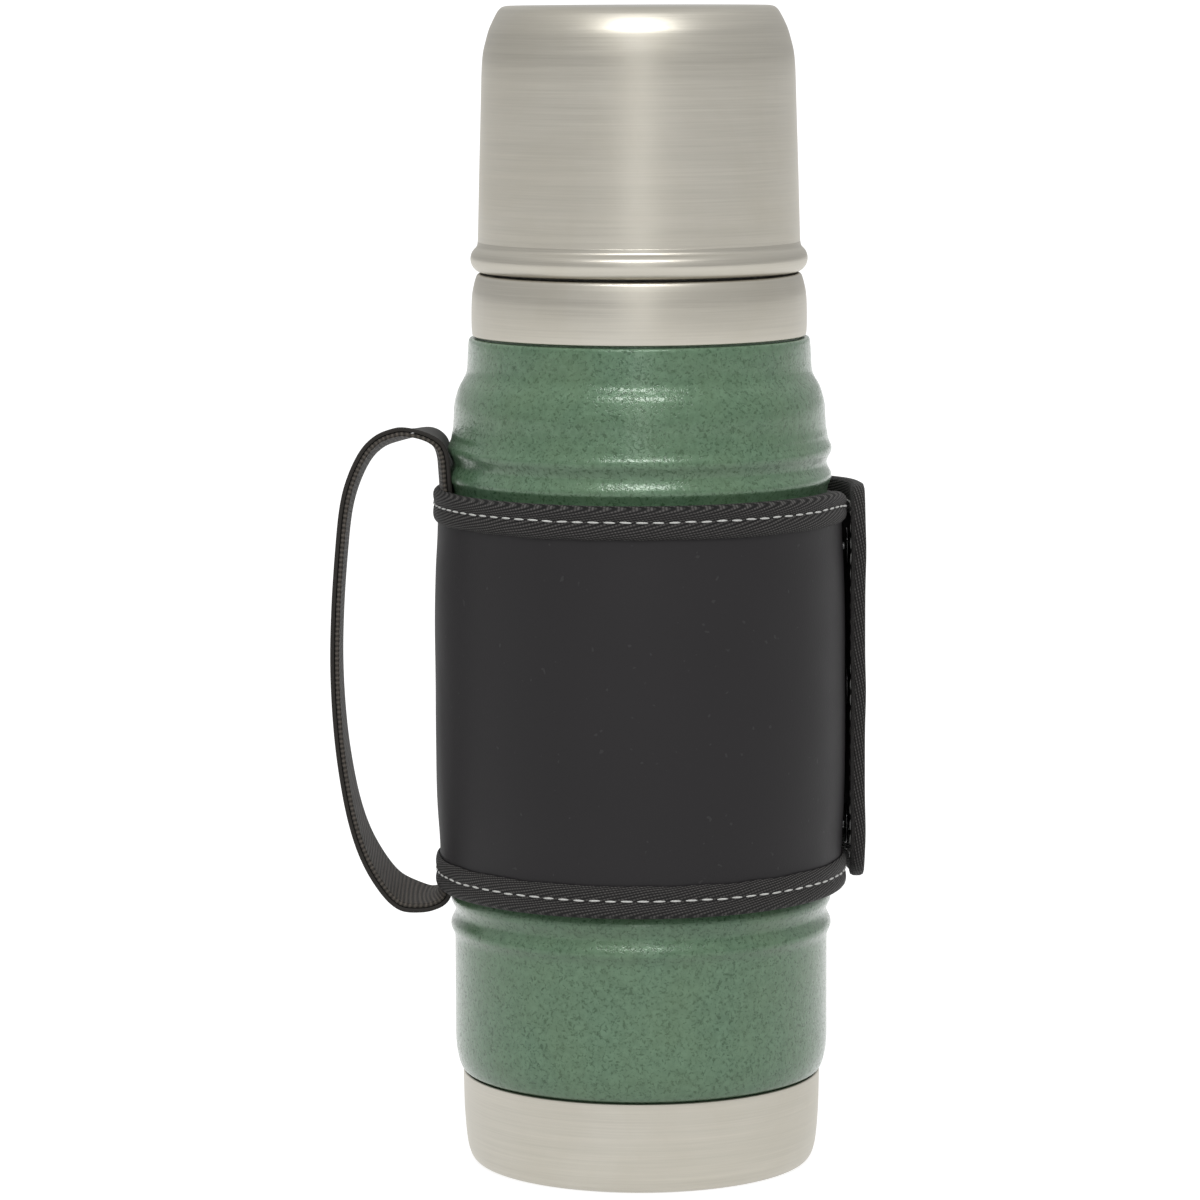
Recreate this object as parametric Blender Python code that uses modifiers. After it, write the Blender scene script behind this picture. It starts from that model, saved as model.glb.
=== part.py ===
"""Vacuum flask with a cup lid, a wrap-around sleeve and a strap handle.

Lengths in the constants are millimetres and angles are degrees; the model is in metres, +Z up,
with its origin at the centre of the flat underside. -Y is the front, the strap is on -X and the
sleeve's flap closes on +X.
"""
import math

import bmesh
import bpy
from mathutils import Matrix, Vector

MM = 0.001
STEPS = 32
HIDDEN_STEPS = 24
SMALL_STEPS = 16
GAP = 0.3

# Heights of the main joints, from the floor up
BASE_TOP = 25.2
SHELL_BOTTOM = 25.6
SHELL_TOP = 225.9
COLLAR_BOTTOM = 226.2
COLLAR_TOP = 242.3
CUP_BOTTOM = 243.0
CUP_TOP = 315.5
NECK_RING_TOP = 262.0
MOUTH_TOP = 267.2

# Radii of the main bodies
BODY_R = 51.0
RING_R = 52.1
RING_VALLEY_R = 50.8
SHELL_INNER_R = 50.2
UPPER_RINGS = (196.2, 188.7)
LOWER_RINGS = (73.4, 65.9)
SHEET = 0.7
VESSEL_R = 45.6
VESSEL_WALL = 0.6
NECK_INNER_R = 26.0
MOUTH_TUBE_R = 30.2

# Threads: the crests pass each other with clearance
THREAD_PITCH = 4.0
THREAD_TURNS = 2.0
NECK_RING_R = 38.6
CUP_THREAD_ROOT_R = 41.0
STOPPER_R = 23.4

# Stopper
FLANGE_R = 31.0
FLANGE_BOTTOM = 269.6
FLANGE_TOP = 272.3
STOPPER_BOTTOM = 236.0
TUBE_R = 9.5
STEM_R = 2.5
BUTTON_R = 12.0
BUTTON_TOP = 287.0
BUTTON_BOTTOM = 276.0
GUIDE_Z = (258.0, 260.0)

# Sleeve: it starts at the seam, goes round the back, left and front, and ends under the flap
SEAM_AZ = 55.0
PANEL_END_AZ = 24.0
SLEEVE_SWEEP = 360.0 + PANEL_END_AZ - SEAM_AZ
SLEEVE_STEPS = 32
SLEEVE_BOTTOM = 76.7
SLEEVE_TOP = 185.4
SLEEVE_EDGE_R = 55.0
SLEEVE_BULGE_R = 56.0
PANEL_T = 0.9
TAPE_T = 0.8
TAPE_LEG = 8.3
TAPE_OUTER_R = 56.2
TAPE_INNER_R = 52.5
LINING_R = 53.8

# Flap: leaves the seam, rises over the sleeve's end and runs straight to its free edge
FLAP_ROUTE = ((55.4, 52.0), (56.8, 44.0), (59.2, 34.0), (61.2, 25.5), (61.6, 19.0))
FLAP_X = 59.6
FLAP_STRAIGHT_Y = (12.5, 2.5, -7.5)
FLAP_T = 1.6
FLAP_TAPE_HALF = 2.2
FLAP_SLOT_HALF = 1.3
FLAP_BOTTOM = 78.3
FLAP_TOP = 184.2
FLAP_TAPE_START = 3
FLAP_TAPE_END_Y = 1.5
FLAP_TAPE_LEG = 7.6
FLAP_HINGE_R = 55.0
FLAP_HINGE_AZ = 53.5

# Snaps: their axes run along +X, beside the flap's tape
SNAP_Y = 8.0
SNAP_HEIGHTS = (91.3, 129.6, 168.0)
SNAP_R = 5.7

# Strap handle, in the XZ plane
STRAP_WIDTH = 24.0
STRAP_LAYER = 1.1
STRAP_CUT_X = -60.0
STRAP_AXIS_X = -54.0
STRAP_SWING = 27.0
STRAP_ROUTE = (
    (-60.0, 197.5), (-64.5, 197.8), (-70.0, 196.0), (-74.0, 192.2), (-77.6, 186.0), (-80.0, 178.0),
    (-82.2, 166.0), (-83.5, 152.0), (-84.0, 138.0), (-83.6, 124.0), (-82.2, 111.0), (-79.8, 97.5),
    (-76.6, 87.0), (-72.0, 78.2), (-66.5, 71.6), (-60.0, 68.4),
)
TAB_SWEEP = 26.0
TAB_T = 1.3

PARTS = "vacuum_flask"
CUTTERS = "cutters"


def clear_scene():
    for item in list(bpy.data.objects):
        bpy.data.objects.remove(item, do_unlink=True)


def collection(name):
    group = bpy.data.collections.new(name)
    bpy.context.scene.collection.children.link(group)
    return group


def material(name, colour, metallic, roughness):
    finish = bpy.data.materials.new(name)
    finish.use_nodes = True
    shader = finish.node_tree.nodes["Principled BSDF"]
    shader.inputs["Base Color"].default_value = (*colour, 1.0)
    shader.inputs["Metallic"].default_value = metallic
    shader.inputs["Roughness"].default_value = roughness
    finish.diffuse_color = (*colour, 1.0)
    return finish


def add_object(name, mesh, finish=None):
    item = bpy.data.objects.new(name, mesh)
    if finish is None:
        bpy.data.collections[CUTTERS].objects.link(item)
        item.hide_render = True
        item.display_type = "WIRE"
    else:
        bpy.data.collections[PARTS].objects.link(item)
        mesh.materials.clear()
        mesh.materials.append(finish)
    return item


def mesh_from(name, bm):
    mesh = bpy.data.meshes.new(name)
    bm.to_mesh(mesh)
    bm.free()
    return mesh


def at_azimuth(radius, azimuth, z=0.0):
    """A point in metres on a circle round the flask's axis."""
    angle = math.radians(azimuth)
    return Vector((radius * math.cos(angle), radius * math.sin(angle), z)) * MM


def profile_mesh(name, points, closed, azimuth=0.0):
    bm = bmesh.new()
    verts = [bm.verts.new(at_azimuth(radius, azimuth, z)) for radius, z in points]
    for first, second in zip(verts, verts[1:]):
        bm.edges.new((first, second))
    if closed:
        bm.edges.new((verts[-1], verts[0]))
    return mesh_from(name, bm)


def screw(item, sweep, steps):
    turn = item.modifiers.new("turn", "SCREW")
    turn.axis = "Z"
    turn.angle = math.radians(sweep)
    turn.steps = steps
    turn.render_steps = steps
    turn.use_merge_vertices = True
    turn.merge_threshold = 0.00001


def turned(name, points, finish, steps=STEPS):
    """A solid of revolution; the section runs down its outer side and ends on the axis or where it began."""
    on_axis = points[0][0] == 0.0 and points[-1][0] == 0.0
    item = add_object(name, profile_mesh(name, points, not on_axis), finish)
    screw(item, 360.0, steps)
    return item


def wrapped(name, points, thickness, finish, start=SEAM_AZ, sweep=SLEEVE_SWEEP, steps=SLEEVE_STEPS):
    """A sheet wrapped part of the way round; the line is the middle of its thickness."""
    item = add_object(name, profile_mesh(name, points, False, start), finish)
    screw(item, sweep, steps)
    shell = item.modifiers.new("sheet", "SOLIDIFY")
    shell.thickness = thickness * MM
    shell.offset = 0.0
    shell.use_even_offset = True
    return item


def bake(item):
    """Replace an object's modifiers or curve by the mesh that they make."""
    depsgraph = bpy.context.evaluated_depsgraph_get()
    mesh = bpy.data.meshes.new_from_object(item.evaluated_get(depsgraph))
    bm = bmesh.new()
    bm.from_mesh(mesh)
    bmesh.ops.remove_doubles(bm, verts=bm.verts, dist=0.000001)
    bmesh.ops.transform(bm, matrix=item.matrix_world, verts=bm.verts)
    bmesh.ops.recalc_face_normals(bm, faces=bm.faces)
    bm.to_mesh(mesh)
    bm.free()
    name = item.name
    finish = item.data.materials[0] if item.data.materials else None
    bpy.data.objects.remove(item, do_unlink=True)
    baked = add_object(name, mesh, finish)
    baked.name = name
    return baked


def boolean(item, cutter, operation="DIFFERENCE"):
    cut = item.modifiers.new(operation.lower(), "BOOLEAN")
    cut.operation = operation
    cut.object = cutter
    cut.solver = "EXACT"


def pivot(name, x, y, *names):
    """An empty on a joint's upright line, with the pieces that turn about it."""
    empty = bpy.data.objects.new(name, None)
    empty.location = Vector((x, y, 0.0)) * MM
    bpy.data.collections[PARTS].objects.link(empty)
    bpy.context.view_layer.update()
    for piece in names:
        item = bpy.data.objects[piece]
        item.parent = empty
        item.matrix_parent_inverse = empty.matrix_world.inverted()


def box_cutter(name, low, high, pivot=(0.0, 0.0), turn=0.0):
    """A box between two corners in millimetres, turned about a vertical line."""
    bm = bmesh.new()
    bmesh.ops.create_cube(bm, size=1.0)
    size = [top - bottom for bottom, top in zip(low, high)]
    middle = [(top + bottom) / 2.0 for bottom, top in zip(low, high)]
    bmesh.ops.scale(bm, vec=Vector(size) * MM, verts=bm.verts)
    bmesh.ops.translate(bm, vec=Vector(middle) * MM, verts=bm.verts)
    centre = Vector((pivot[0], pivot[1], 0.0)) * MM
    bmesh.ops.rotate(bm, cent=centre, matrix=Matrix.Rotation(math.radians(turn), 3, "Z"), verts=bm.verts)
    return add_object(name, mesh_from(name, bm))


def rods(bm, radius, z_low, z_high, places, segments=12):
    """Upright cylinders at the given places, in millimetres."""
    for x, y in places:
        made = bmesh.ops.create_cone(
            bm, cap_ends=True, segments=segments, radius1=radius * MM, radius2=radius * MM,
            depth=(z_high - z_low) * MM)
        bmesh.ops.translate(bm, vec=Vector((x, y, (z_low + z_high) / 2.0)) * MM, verts=made["verts"])


def ring_places(radius, count, start=0.0):
    spots = [at_azimuth(radius, start + 360.0 * index / count) / MM for index in range(count)]
    return [(spot.x, spot.y) for spot in spots]


def helical_ridge(name, root_r, crest_r, z_low, turns=THREAD_TURNS, steps_per_turn=HIDDEN_STEPS):
    """A thread ridge from root to crest, with its foot buried in the wall that it joins."""
    bm = bmesh.new()
    section = ((root_r, -1.0), (crest_r, -0.45), (crest_r, 0.45), (root_r, 1.0))
    verts = [bm.verts.new(Vector((radius, 0.0, z_low + dz)) * MM) for radius, dz in section]
    face = bm.faces.new(verts)
    steps = int(turns * steps_per_turn)
    bmesh.ops.spin(
        bm, geom=[face], cent=(0.0, 0.0, 0.0), axis=(0.0, 0.0, 1.0),
        dvec=(0.0, 0.0, THREAD_PITCH * MM / steps_per_turn), angle=math.radians(360.0 * turns),
        steps=steps, use_duplicate=False)
    bmesh.ops.recalc_face_normals(bm, faces=bm.faces)
    return add_object(name, mesh_from(name, bm))


def outline_solid(name, outline, low, high, finish=None, upright=True):
    """A flat outline with straight sides: standing up from low to high, or lying across Y."""
    curve = bpy.data.curves.new(name, "CURVE")
    curve.dimensions = "2D"
    curve.fill_mode = "BOTH"
    curve.extrude = (high - low) / 2.0 * MM
    spline = curve.splines.new("POLY")
    spline.points.add(len(outline) - 1)
    for point, (first, second) in zip(spline.points, outline):
        point.co = (first * MM, second * MM, 0.0, 1.0)
    spline.use_cyclic_u = True
    item = bpy.data.objects.new(name, curve)
    bpy.data.collections[CUTTERS if finish is None else PARTS].objects.link(item)
    if finish is not None:
        curve.materials.append(finish)
    middle = (low + high) / 2.0 * MM
    if upright:
        item.location = (0.0, 0.0, middle)
    else:
        item.location = (0.0, middle, 0.0)
        item.rotation_euler = (math.radians(90.0), 0.0, 0.0)
    bpy.context.view_layer.update()
    return bake(item)


def smooth_route(points, per_span=3):
    """A smooth line through the points."""
    route = []
    last = len(points) - 1
    for index in range(last):
        before = Vector(points[max(index - 1, 0)])
        start = Vector(points[index])
        end = Vector(points[index + 1])
        after = Vector(points[min(index + 2, last)])
        for step in range(per_span):
            t = step / per_span
            spot = 0.5 * (2.0 * start + (end - before) * t
                          + (2.0 * before - 5.0 * start + 4.0 * end - after) * t * t
                          + (3.0 * start - before - 3.0 * end + after) * t ** 3)
            route.append(spot)
    route.append(Vector(points[last]))
    return route


def band(route, low, high):
    """The outline between two offsets from a route, measured to the left of its direction."""
    sides = []
    for offset in (low, high):
        side = []
        for index, spot in enumerate(route):
            ahead = route[min(index + 1, len(route) - 1)]
            behind = route[max(index - 1, 0)]
            along = (ahead - behind).normalized()
            side.append((spot.x - along.y * offset, spot.y + along.x * offset))
        sides.append(side)
    return sides[0] + sides[1][::-1]


# ---------------------------------------------------------------- steel body

def ring_pair(heights):
    """Two raised rings, listed downwards, with a valley between them."""
    upper, lower = heights
    middle = (upper + lower) / 2.0
    edge = (RING_R + RING_VALLEY_R) / 2.0
    return [
        (BODY_R, upper + 3.9), (edge, upper + 2.0), (RING_R, upper), (edge, upper - 2.0),
        (RING_VALLEY_R, middle), (edge, lower + 2.0), (RING_R, lower), (edge, lower - 2.0),
        (BODY_R, lower - 3.9),
    ]


def make_outer_shell(finish):
    shoulder = [
        (46.0, SHELL_TOP), (46.3, 225.0), (46.6, 218.0), (47.7, 215.5), (49.1, 212.7),
        (49.9, 210.0), (50.45, 207.0), (50.45, 201.5),
    ]
    foot = [(BODY_R, 34.0), (50.7, 31.0), (50.2, 28.5), (49.1, SHELL_BOTTOM)]
    outside = [(MOUTH_TUBE_R, MOUTH_TOP - 1.4), (MOUTH_TUBE_R, 240.8), (43.4, 240.8), (43.9, 240.3)]
    outside += [(43.9, SHELL_TOP)] + shoulder + ring_pair(UPPER_RINGS) + ring_pair(LOWER_RINGS) + foot
    skirt = [(47.3, SHELL_BOTTOM), (47.0, 14.0), (47.0, 11.0), (46.3, 11.0), (46.3, 26.3), (48.4, 26.5)]
    inside = [
        (49.6, 29.2), (SHELL_INNER_R, 32.5), (SHELL_INNER_R, 199.5), (49.75, 201.4), (49.75, 206.8),
        (49.2, 209.6), (48.4, 212.2), (47.0, 214.9), (45.9, 217.6), (45.6, 224.2), (43.2, 225.2),
        (43.2, 240.1), (MOUTH_TUBE_R - SHEET, 240.1), (MOUTH_TUBE_R - SHEET, MOUTH_TOP - 1.4),
    ]
    return turned("outer_shell", outside + skirt + inside, finish)


def make_neck_collar(finish):
    section = [
        (38.9, COLLAR_TOP), (44.2, COLLAR_TOP), (45.0, 240.2), (45.6, 236.5), (45.8, 232.0),
        (45.4, COLLAR_BOTTOM), (44.3, COLLAR_BOTTOM), (44.3, 240.0), (43.7, 241.2), (38.9, 241.2),
    ]
    return turned("neck_collar", section, finish)


def make_base_cup(finish):
    inside = [
        (0.0, SHEET), (42.8, SHEET), (44.7, 1.8), (46.2, 3.8), (47.1, 7.0), (47.7, 12.1), (48.1, BASE_TOP),
    ]
    outside = [
        (48.9, BASE_TOP), (48.7, 15.0), (48.4, 12.0), (47.8, 6.8), (46.8, 3.4), (45.2, 1.2), (43.0, 0.0),
        (0.0, 0.0),
    ]
    return turned("base_cup", inside + outside, finish)


def make_base_plate(finish):
    section = [
        (0.0, 12.6), (6.0, 12.6), (8.0, 13.4), (45.3, 13.4), (45.3, 12.4), (8.4, 12.4), (6.4, 11.6),
        (0.0, 11.6),
    ]
    return turned("base_plate", section, finish, HIDDEN_STEPS)


def make_vacuum_fittings(glass, steel):
    seal = [(0.0, 11.3), (3.0, 11.3), (3.5, 10.5), (3.0, 9.8), (0.0, 9.6)]
    turned("evacuation_seal", seal, glass, 12)
    bm = bmesh.new()
    rods(bm, 5.0, 14.0, 18.5, [(22.0, 0.0)], 16)
    add_object("getter_capsule", mesh_from("getter_capsule", bm), steel)


def make_inner_vessel(finish):
    inner_r = VESSEL_R - VESSEL_WALL
    neck_outer_r = NECK_INNER_R + VESSEL_WALL
    inside = [
        (0.0, 20.7), (40.2, 20.7), (inner_r, 25.8), (inner_r, 200.3), (42.7, 207.7), (37.8, 212.6),
        (30.8, 216.6), (NECK_INNER_R, 220.9), (NECK_INNER_R, MOUTH_TOP),
    ]
    outside = [
        (MOUTH_TUBE_R, MOUTH_TOP), (MOUTH_TUBE_R, MOUTH_TOP - 1.0), (neck_outer_r, MOUTH_TOP - 1.0),
        (neck_outer_r, 221.3), (31.1, 217.2), (38.2, 213.2), (43.2, 208.2), (VESSEL_R, 200.5),
        (VESSEL_R, 25.6), (40.5, 20.1), (0.0, 20.1),
    ]
    vessel = turned("inner_vessel", inside + outside, finish, HIDDEN_STEPS)
    boolean(vessel, helical_ridge("neck_thread", NECK_INNER_R + 0.4, 24.9, 247.0), "UNION")
    return vessel


def make_radiation_foil(finish):
    section = [(46.9, 195.0), (46.9, 33.0), (46.5, 33.0), (46.5, 195.0)]
    return turned("radiation_foil", section, finish, HIDDEN_STEPS)


def make_neck_ring(finish):
    section = [
        (NECK_RING_R, NECK_RING_TOP), (NECK_RING_R, COLLAR_TOP + 0.4),
        (MOUTH_TUBE_R + 0.6, COLLAR_TOP + 0.4), (MOUTH_TUBE_R + 0.6, NECK_RING_TOP),
    ]
    ring = turned("neck_ring", section, finish, HIDDEN_STEPS)
    boolean(ring, helical_ridge("neck_ring_thread", NECK_RING_R - 0.4, 39.8, 248.0), "UNION")
    return ring


# ---------------------------------------------------------------- cup lid

def make_cup_shell(finish):
    outside = [
        (0.0, CUP_TOP), (36.2, CUP_TOP), (37.4, 314.3), (39.0, 311.7), (40.3, 309.0), (41.1, 306.2),
        (41.9, 303.0), (42.3, 299.0), (42.5, 290.0), (43.0, 273.0), (43.6, 251.0),
    ]
    bead = [(44.7, 249.0), (45.6, 248.0), (45.8, 246.4), (45.4, 244.6), (44.4, 243.4), (43.3, CUP_BOTTOM)]
    inside = [
        (42.6, CUP_BOTTOM), (42.9, 251.0), (42.3, 273.0), (41.8, 290.0), (41.6, 299.0), (41.2, 302.8),
        (40.4, 306.0), (39.6, 308.7), (38.4, 311.2), (36.9, 313.6), (35.8, CUP_TOP - SHEET),
        (0.0, CUP_TOP - SHEET),
    ]
    return turned("cup_shell", outside + bead + inside, finish)


def make_cup_thread_insert(finish):
    section = [
        (42.1, 265.5), (42.1, 244.5), (CUP_THREAD_ROOT_R, 244.5), (CUP_THREAD_ROOT_R, 264.3),
        (33.5, 264.3), (33.5, 265.5),
    ]
    insert = turned("cup_thread_insert", section, finish, HIDDEN_STEPS)
    boolean(insert, helical_ridge("cup_thread", CUP_THREAD_ROOT_R + 0.4, 40.4, 250.0), "UNION")
    return insert


def make_cup_seal(finish):
    section = [(39.0, 263.9), (39.0, 262.4), (34.0, 262.4), (34.0, 263.9)]
    return turned("cup_seal", section, finish, HIDDEN_STEPS)


# ---------------------------------------------------------------- stopper

def make_stopper_body(finish):
    section = [
        (FLANGE_R, FLANGE_TOP), (FLANGE_R, FLANGE_BOTTOM), (STOPPER_R, FLANGE_BOTTOM),
        (STOPPER_R, STOPPER_BOTTOM), (8.0, STOPPER_BOTTOM), (8.0, 238.0), (TUBE_R, 238.0),
        (TUBE_R, FLANGE_TOP), (11.0, FLANGE_TOP), (11.0, 238.4), (21.6, 238.4), (21.6, FLANGE_TOP),
    ]
    body = turned("stopper_body", section, finish, HIDDEN_STEPS)
    boolean(body, helical_ridge("stopper_thread", STOPPER_R - 0.4, 24.4, 249.0), "UNION")
    return body


def make_stopper_cap(finish):
    section = [
        (29.5, 284.0), (FLANGE_R, 282.5), (FLANGE_R, FLANGE_TOP + GAP), (29.0, FLANGE_TOP + GAP),
        (29.0, 281.5), (28.3, 282.2), (12.4, 282.2), (12.4, 284.0),
    ]
    cap = turned("stopper_cap", section, finish, HIDDEN_STEPS)
    bm = bmesh.new()
    rods(bm, 1.2, 270.0, 290.0, ring_places(31.6, 12, 7.5), 6)
    boolean(cap, add_object("grip_grooves", mesh_from("grip_grooves", bm)))
    boolean(cap, box_cutter("pour_slot", (-7.0, -40.0, 271.0), (7.0, -20.0, 278.0)))
    return cap


def make_stopper_inside(foam, plastic):
    packing = [(21.1, 271.0), (21.1, 238.7), (11.6, 238.7), (11.6, 271.0)]
    turned("stopper_foam", packing, foam, SMALL_STEPS)
    low, high = GUIDE_Z
    disc = [(TUBE_R - GAP, high), (TUBE_R - GAP, low), (STEM_R + GAP, low), (STEM_R + GAP, high)]
    guide = turned("valve_guide", disc, plastic, SMALL_STEPS)
    bm = bmesh.new()
    rods(bm, 1.7, low - 2.0, high + 2.0, ring_places(6.1, 4), 8)
    boolean(guide, add_object("guide_holes", mesh_from("guide_holes", bm)))


def make_stopper_seal(finish):
    section = [(30.5, 269.2), (30.5, 267.6), (26.5, 267.6), (26.5, 269.2)]
    return turned("stopper_seal", section, finish, HIDDEN_STEPS)


def make_valve(button, steel, rubber):
    head = [
        (0.0, BUTTON_TOP), (10.4, BUTTON_TOP), (BUTTON_R, 285.8), (BUTTON_R, 281.8), (13.2, 281.8),
        (13.2, BUTTON_BOTTOM), (0.0, BUTTON_BOTTOM),
    ]
    turned("pour_button", head, button, HIDDEN_STEPS)
    stem_top = BUTTON_BOTTOM - GAP
    stem = [(0.0, stem_top), (STEM_R, stem_top), (STEM_R, 234.5), (0.0, 234.5)]
    turned("valve_stem", stem, steel, 12)
    disc = [(0.0, 234.2), (9.2, 234.2), (10.0, 233.4), (8.5, 231.4), (0.0, 231.4)]
    turned("valve_disc", disc, button, SMALL_STEPS)
    washer = [(9.6, 235.7), (9.6, 234.5), (STEM_R + GAP, 234.5), (STEM_R + GAP, 235.7)]
    turned("valve_seal", washer, rubber, SMALL_STEPS)


def make_button_spring(finish):
    wire = bpy.data.curves.new("button_spring", "CURVE")
    wire.dimensions = "3D"
    wire.bevel_depth = 0.45 * MM
    wire.bevel_resolution = 1
    wire.use_fill_caps = True
    wire.materials.append(finish)
    turns, per_turn, coil_r = 4, 10, 5.0
    z_low, z_high = GUIDE_Z[1] + 0.8, BUTTON_BOTTOM - 0.8
    spline = wire.splines.new("POLY")
    spline.points.add(turns * per_turn)
    for index, point in enumerate(spline.points):
        share = index / (turns * per_turn)
        spot = at_azimuth(coil_r, 360.0 * turns * share, z_low + (z_high - z_low) * share)
        point.co = (*spot, 1.0)
    item = bpy.data.objects.new("button_spring", wire)
    bpy.data.collections[PARTS].objects.link(item)
    bpy.context.view_layer.update()
    return bake(item)


# ---------------------------------------------------------------- sleeve and flap

def make_sleeve(leather, lining, tape):
    middle_r = SLEEVE_EDGE_R - PANEL_T / 2.0
    bulge_r = SLEEVE_BULGE_R - PANEL_T / 2.0
    top = SLEEVE_TOP - TAPE_T
    bottom = SLEEVE_BOTTOM + TAPE_T
    line = [
        (middle_r, top), (middle_r, 176.0), (bulge_r - 0.3, 164.0), (bulge_r, 145.0), (bulge_r, 117.0),
        (bulge_r - 0.3, 98.0), (middle_r, 86.0), (middle_r, bottom),
    ]
    panel = wrapped("sleeve_panel", line, PANEL_T, leather)
    bm = bmesh.new()
    for height in SNAP_HEIGHTS:
        add_rod_along(bm, 1.6, 52.0, 58.0, height)
    boolean(panel, add_object("sleeve_snap_holes", mesh_from("sleeve_snap_holes", bm)))
    inner = [(LINING_R - 0.3, 175.8), (LINING_R - 0.3, 86.2)]
    wrapped("sleeve_lining", inner, 0.6, lining, sweep=SLEEVE_SWEEP - PANEL_END_AZ)
    notch_line = [(TAPE_INNER_R - 0.3, 200.0), (TAPE_INNER_R - 0.3, 60.0)]
    notch = wrapped("strap_notch", notch_line, 4.4, None, 165.0, 30.0, 6)
    inside_r = TAPE_INNER_R + TAPE_T / 2.0
    outside_r = TAPE_OUTER_R - TAPE_T / 2.0
    for name, edge, step in (("top_binding", SLEEVE_TOP, -1.0), ("bottom_binding", SLEEVE_BOTTOM, 1.0)):
        fold = edge + step * TAPE_T / 2.0 - step * 0.4
        leg = edge + step * TAPE_LEG
        section = [(inside_r, leg), (inside_r, fold), (outside_r, fold), (outside_r, leg)]
        binding = wrapped(name, section, TAPE_T, tape)
        boolean(binding, notch)


def arc(radius, first, last, count=5):
    spots = [at_azimuth(radius, first + (last - first) * step / count) / MM for step in range(count + 1)]
    return [(spot.x, spot.y) for spot in spots]


def make_end_binding(finish):
    near, end = PANEL_END_AZ - 8.0, PANEL_END_AZ + 0.4
    outer_r, inner_r = 56.9, TAPE_INNER_R
    outline = arc(outer_r, near, end + 0.6) + arc(inner_r, end + 0.6, near)
    outline += arc(inner_r + 0.6, near, end) + arc(outer_r - 0.6, end, near)
    return outline_solid("end_binding", outline, SLEEVE_BOTTOM + 9.8, SLEEVE_TOP - 9.8, finish)


def flap_route():
    bend = [at_azimuth(radius, azimuth) / MM for radius, azimuth in FLAP_ROUTE]
    points = [(spot.x, spot.y) for spot in bend]
    points += [(FLAP_X, y) for y in FLAP_STRAIGHT_Y]
    return smooth_route(points, 3)


def add_rod_along(bm, radius, start, end, height, segments=8):
    """A cylinder along a snap's axis, from one distance out to another."""
    made = bmesh.ops.create_cone(
        bm, cap_ends=True, segments=segments, radius1=radius * MM, radius2=radius * MM,
        depth=(end - start) * MM)
    bmesh.ops.rotate(bm, matrix=Matrix.Rotation(math.radians(90.0), 3, "Y"), verts=made["verts"])
    middle = Vector(((start + end) / 2.0, SNAP_Y, height)) * MM
    bmesh.ops.translate(bm, vec=middle, verts=made["verts"])


def make_flap(leather, tape):
    route = flap_route()
    half = FLAP_T / 2.0
    core = outline_solid("flap_panel", band(route, -half, half), FLAP_BOTTOM, FLAP_TOP, leather)
    bm = bmesh.new()
    for height in SNAP_HEIGHTS:
        add_rod_along(bm, 2.2, 57.0, 64.0, height)
    boolean(core, add_object("flap_snap_holes", mesh_from("flap_snap_holes", bm)))

    end = route[-1]
    edge = route[FLAP_TAPE_START:] + [Vector((end.x, end.y - 1.2))]
    slot = route + [Vector((end.x, end.y - 0.4))]
    window = [spot for spot in route if spot.y > FLAP_TAPE_END_Y] + [Vector((FLAP_X, FLAP_TAPE_END_Y))]
    bottom, top = FLAP_BOTTOM - 0.8, FLAP_TOP + 0.8
    binding = outline_solid(
        "flap_binding", band(edge, -FLAP_TAPE_HALF, FLAP_TAPE_HALF), bottom, top, tape)
    slot_cutter = outline_solid(
        "flap_slot", band(slot, -FLAP_SLOT_HALF, FLAP_SLOT_HALF), FLAP_BOTTOM - GAP, FLAP_TOP + GAP)
    window_cutter = outline_solid(
        "flap_window", band(window, -4.0, 4.0), bottom + FLAP_TAPE_LEG, top - FLAP_TAPE_LEG)
    boolean(binding, slot_cutter)
    boolean(binding, window_cutter)


def snap_piece(name, section, height, finish, segments=12):
    """A solid of revolution about a snap's axis; the section's heights are distances along +X."""
    item = turned(name, section, finish, segments)
    item.rotation_euler = (0.0, math.radians(90.0), 0.0)
    item.location = (0.0, SNAP_Y * MM, height * MM)
    return item


def make_snaps(finish):
    cap = [
        (0.0, 62.0), (3.4, 61.8), (5.2, 61.3), (SNAP_R, 60.7), (1.7, 60.7), (1.7, 58.9), (0.0, 58.9),
    ]
    socket = [(SNAP_R, 58.5), (SNAP_R, 57.5), (2.9, 57.5), (2.9, 58.5)]
    stud = [
        (0.0, 58.4), (1.7, 58.4), (2.0, 58.0), (1.8, 57.0), (SNAP_R - 0.2, 57.0), (SNAP_R - 0.2, 56.4),
        (0.0, 56.4),
    ]
    post = [
        (0.0, 56.0), (1.2, 56.0), (1.2, 52.6), (3.2, 52.6), (3.2, 52.0), (0.0, 52.0),
    ]
    for index, height in enumerate(SNAP_HEIGHTS, 1):
        snap_piece(f"snap_cap_{index}", cap, height, finish)
        snap_piece(f"snap_socket_{index}", socket, height, finish)
        snap_piece(f"snap_stud_{index}", stud, height, finish)
        snap_piece(f"snap_post_{index}", post, height, finish)


# ---------------------------------------------------------------- strap handle

def make_strap(leather, webbing):
    route = smooth_route(STRAP_ROUTE, 2)
    half_width = STRAP_WIDTH / 2.0
    layers = (("strap_webbing", 0.15, 0.15 + STRAP_LAYER, webbing),
              ("strap_leather", -0.15 - STRAP_LAYER, -0.15, leather))
    for name, low, high, finish in layers:
        outline_solid(name, band(route, low, high), -half_width, half_width, finish, upright=False)


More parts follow.
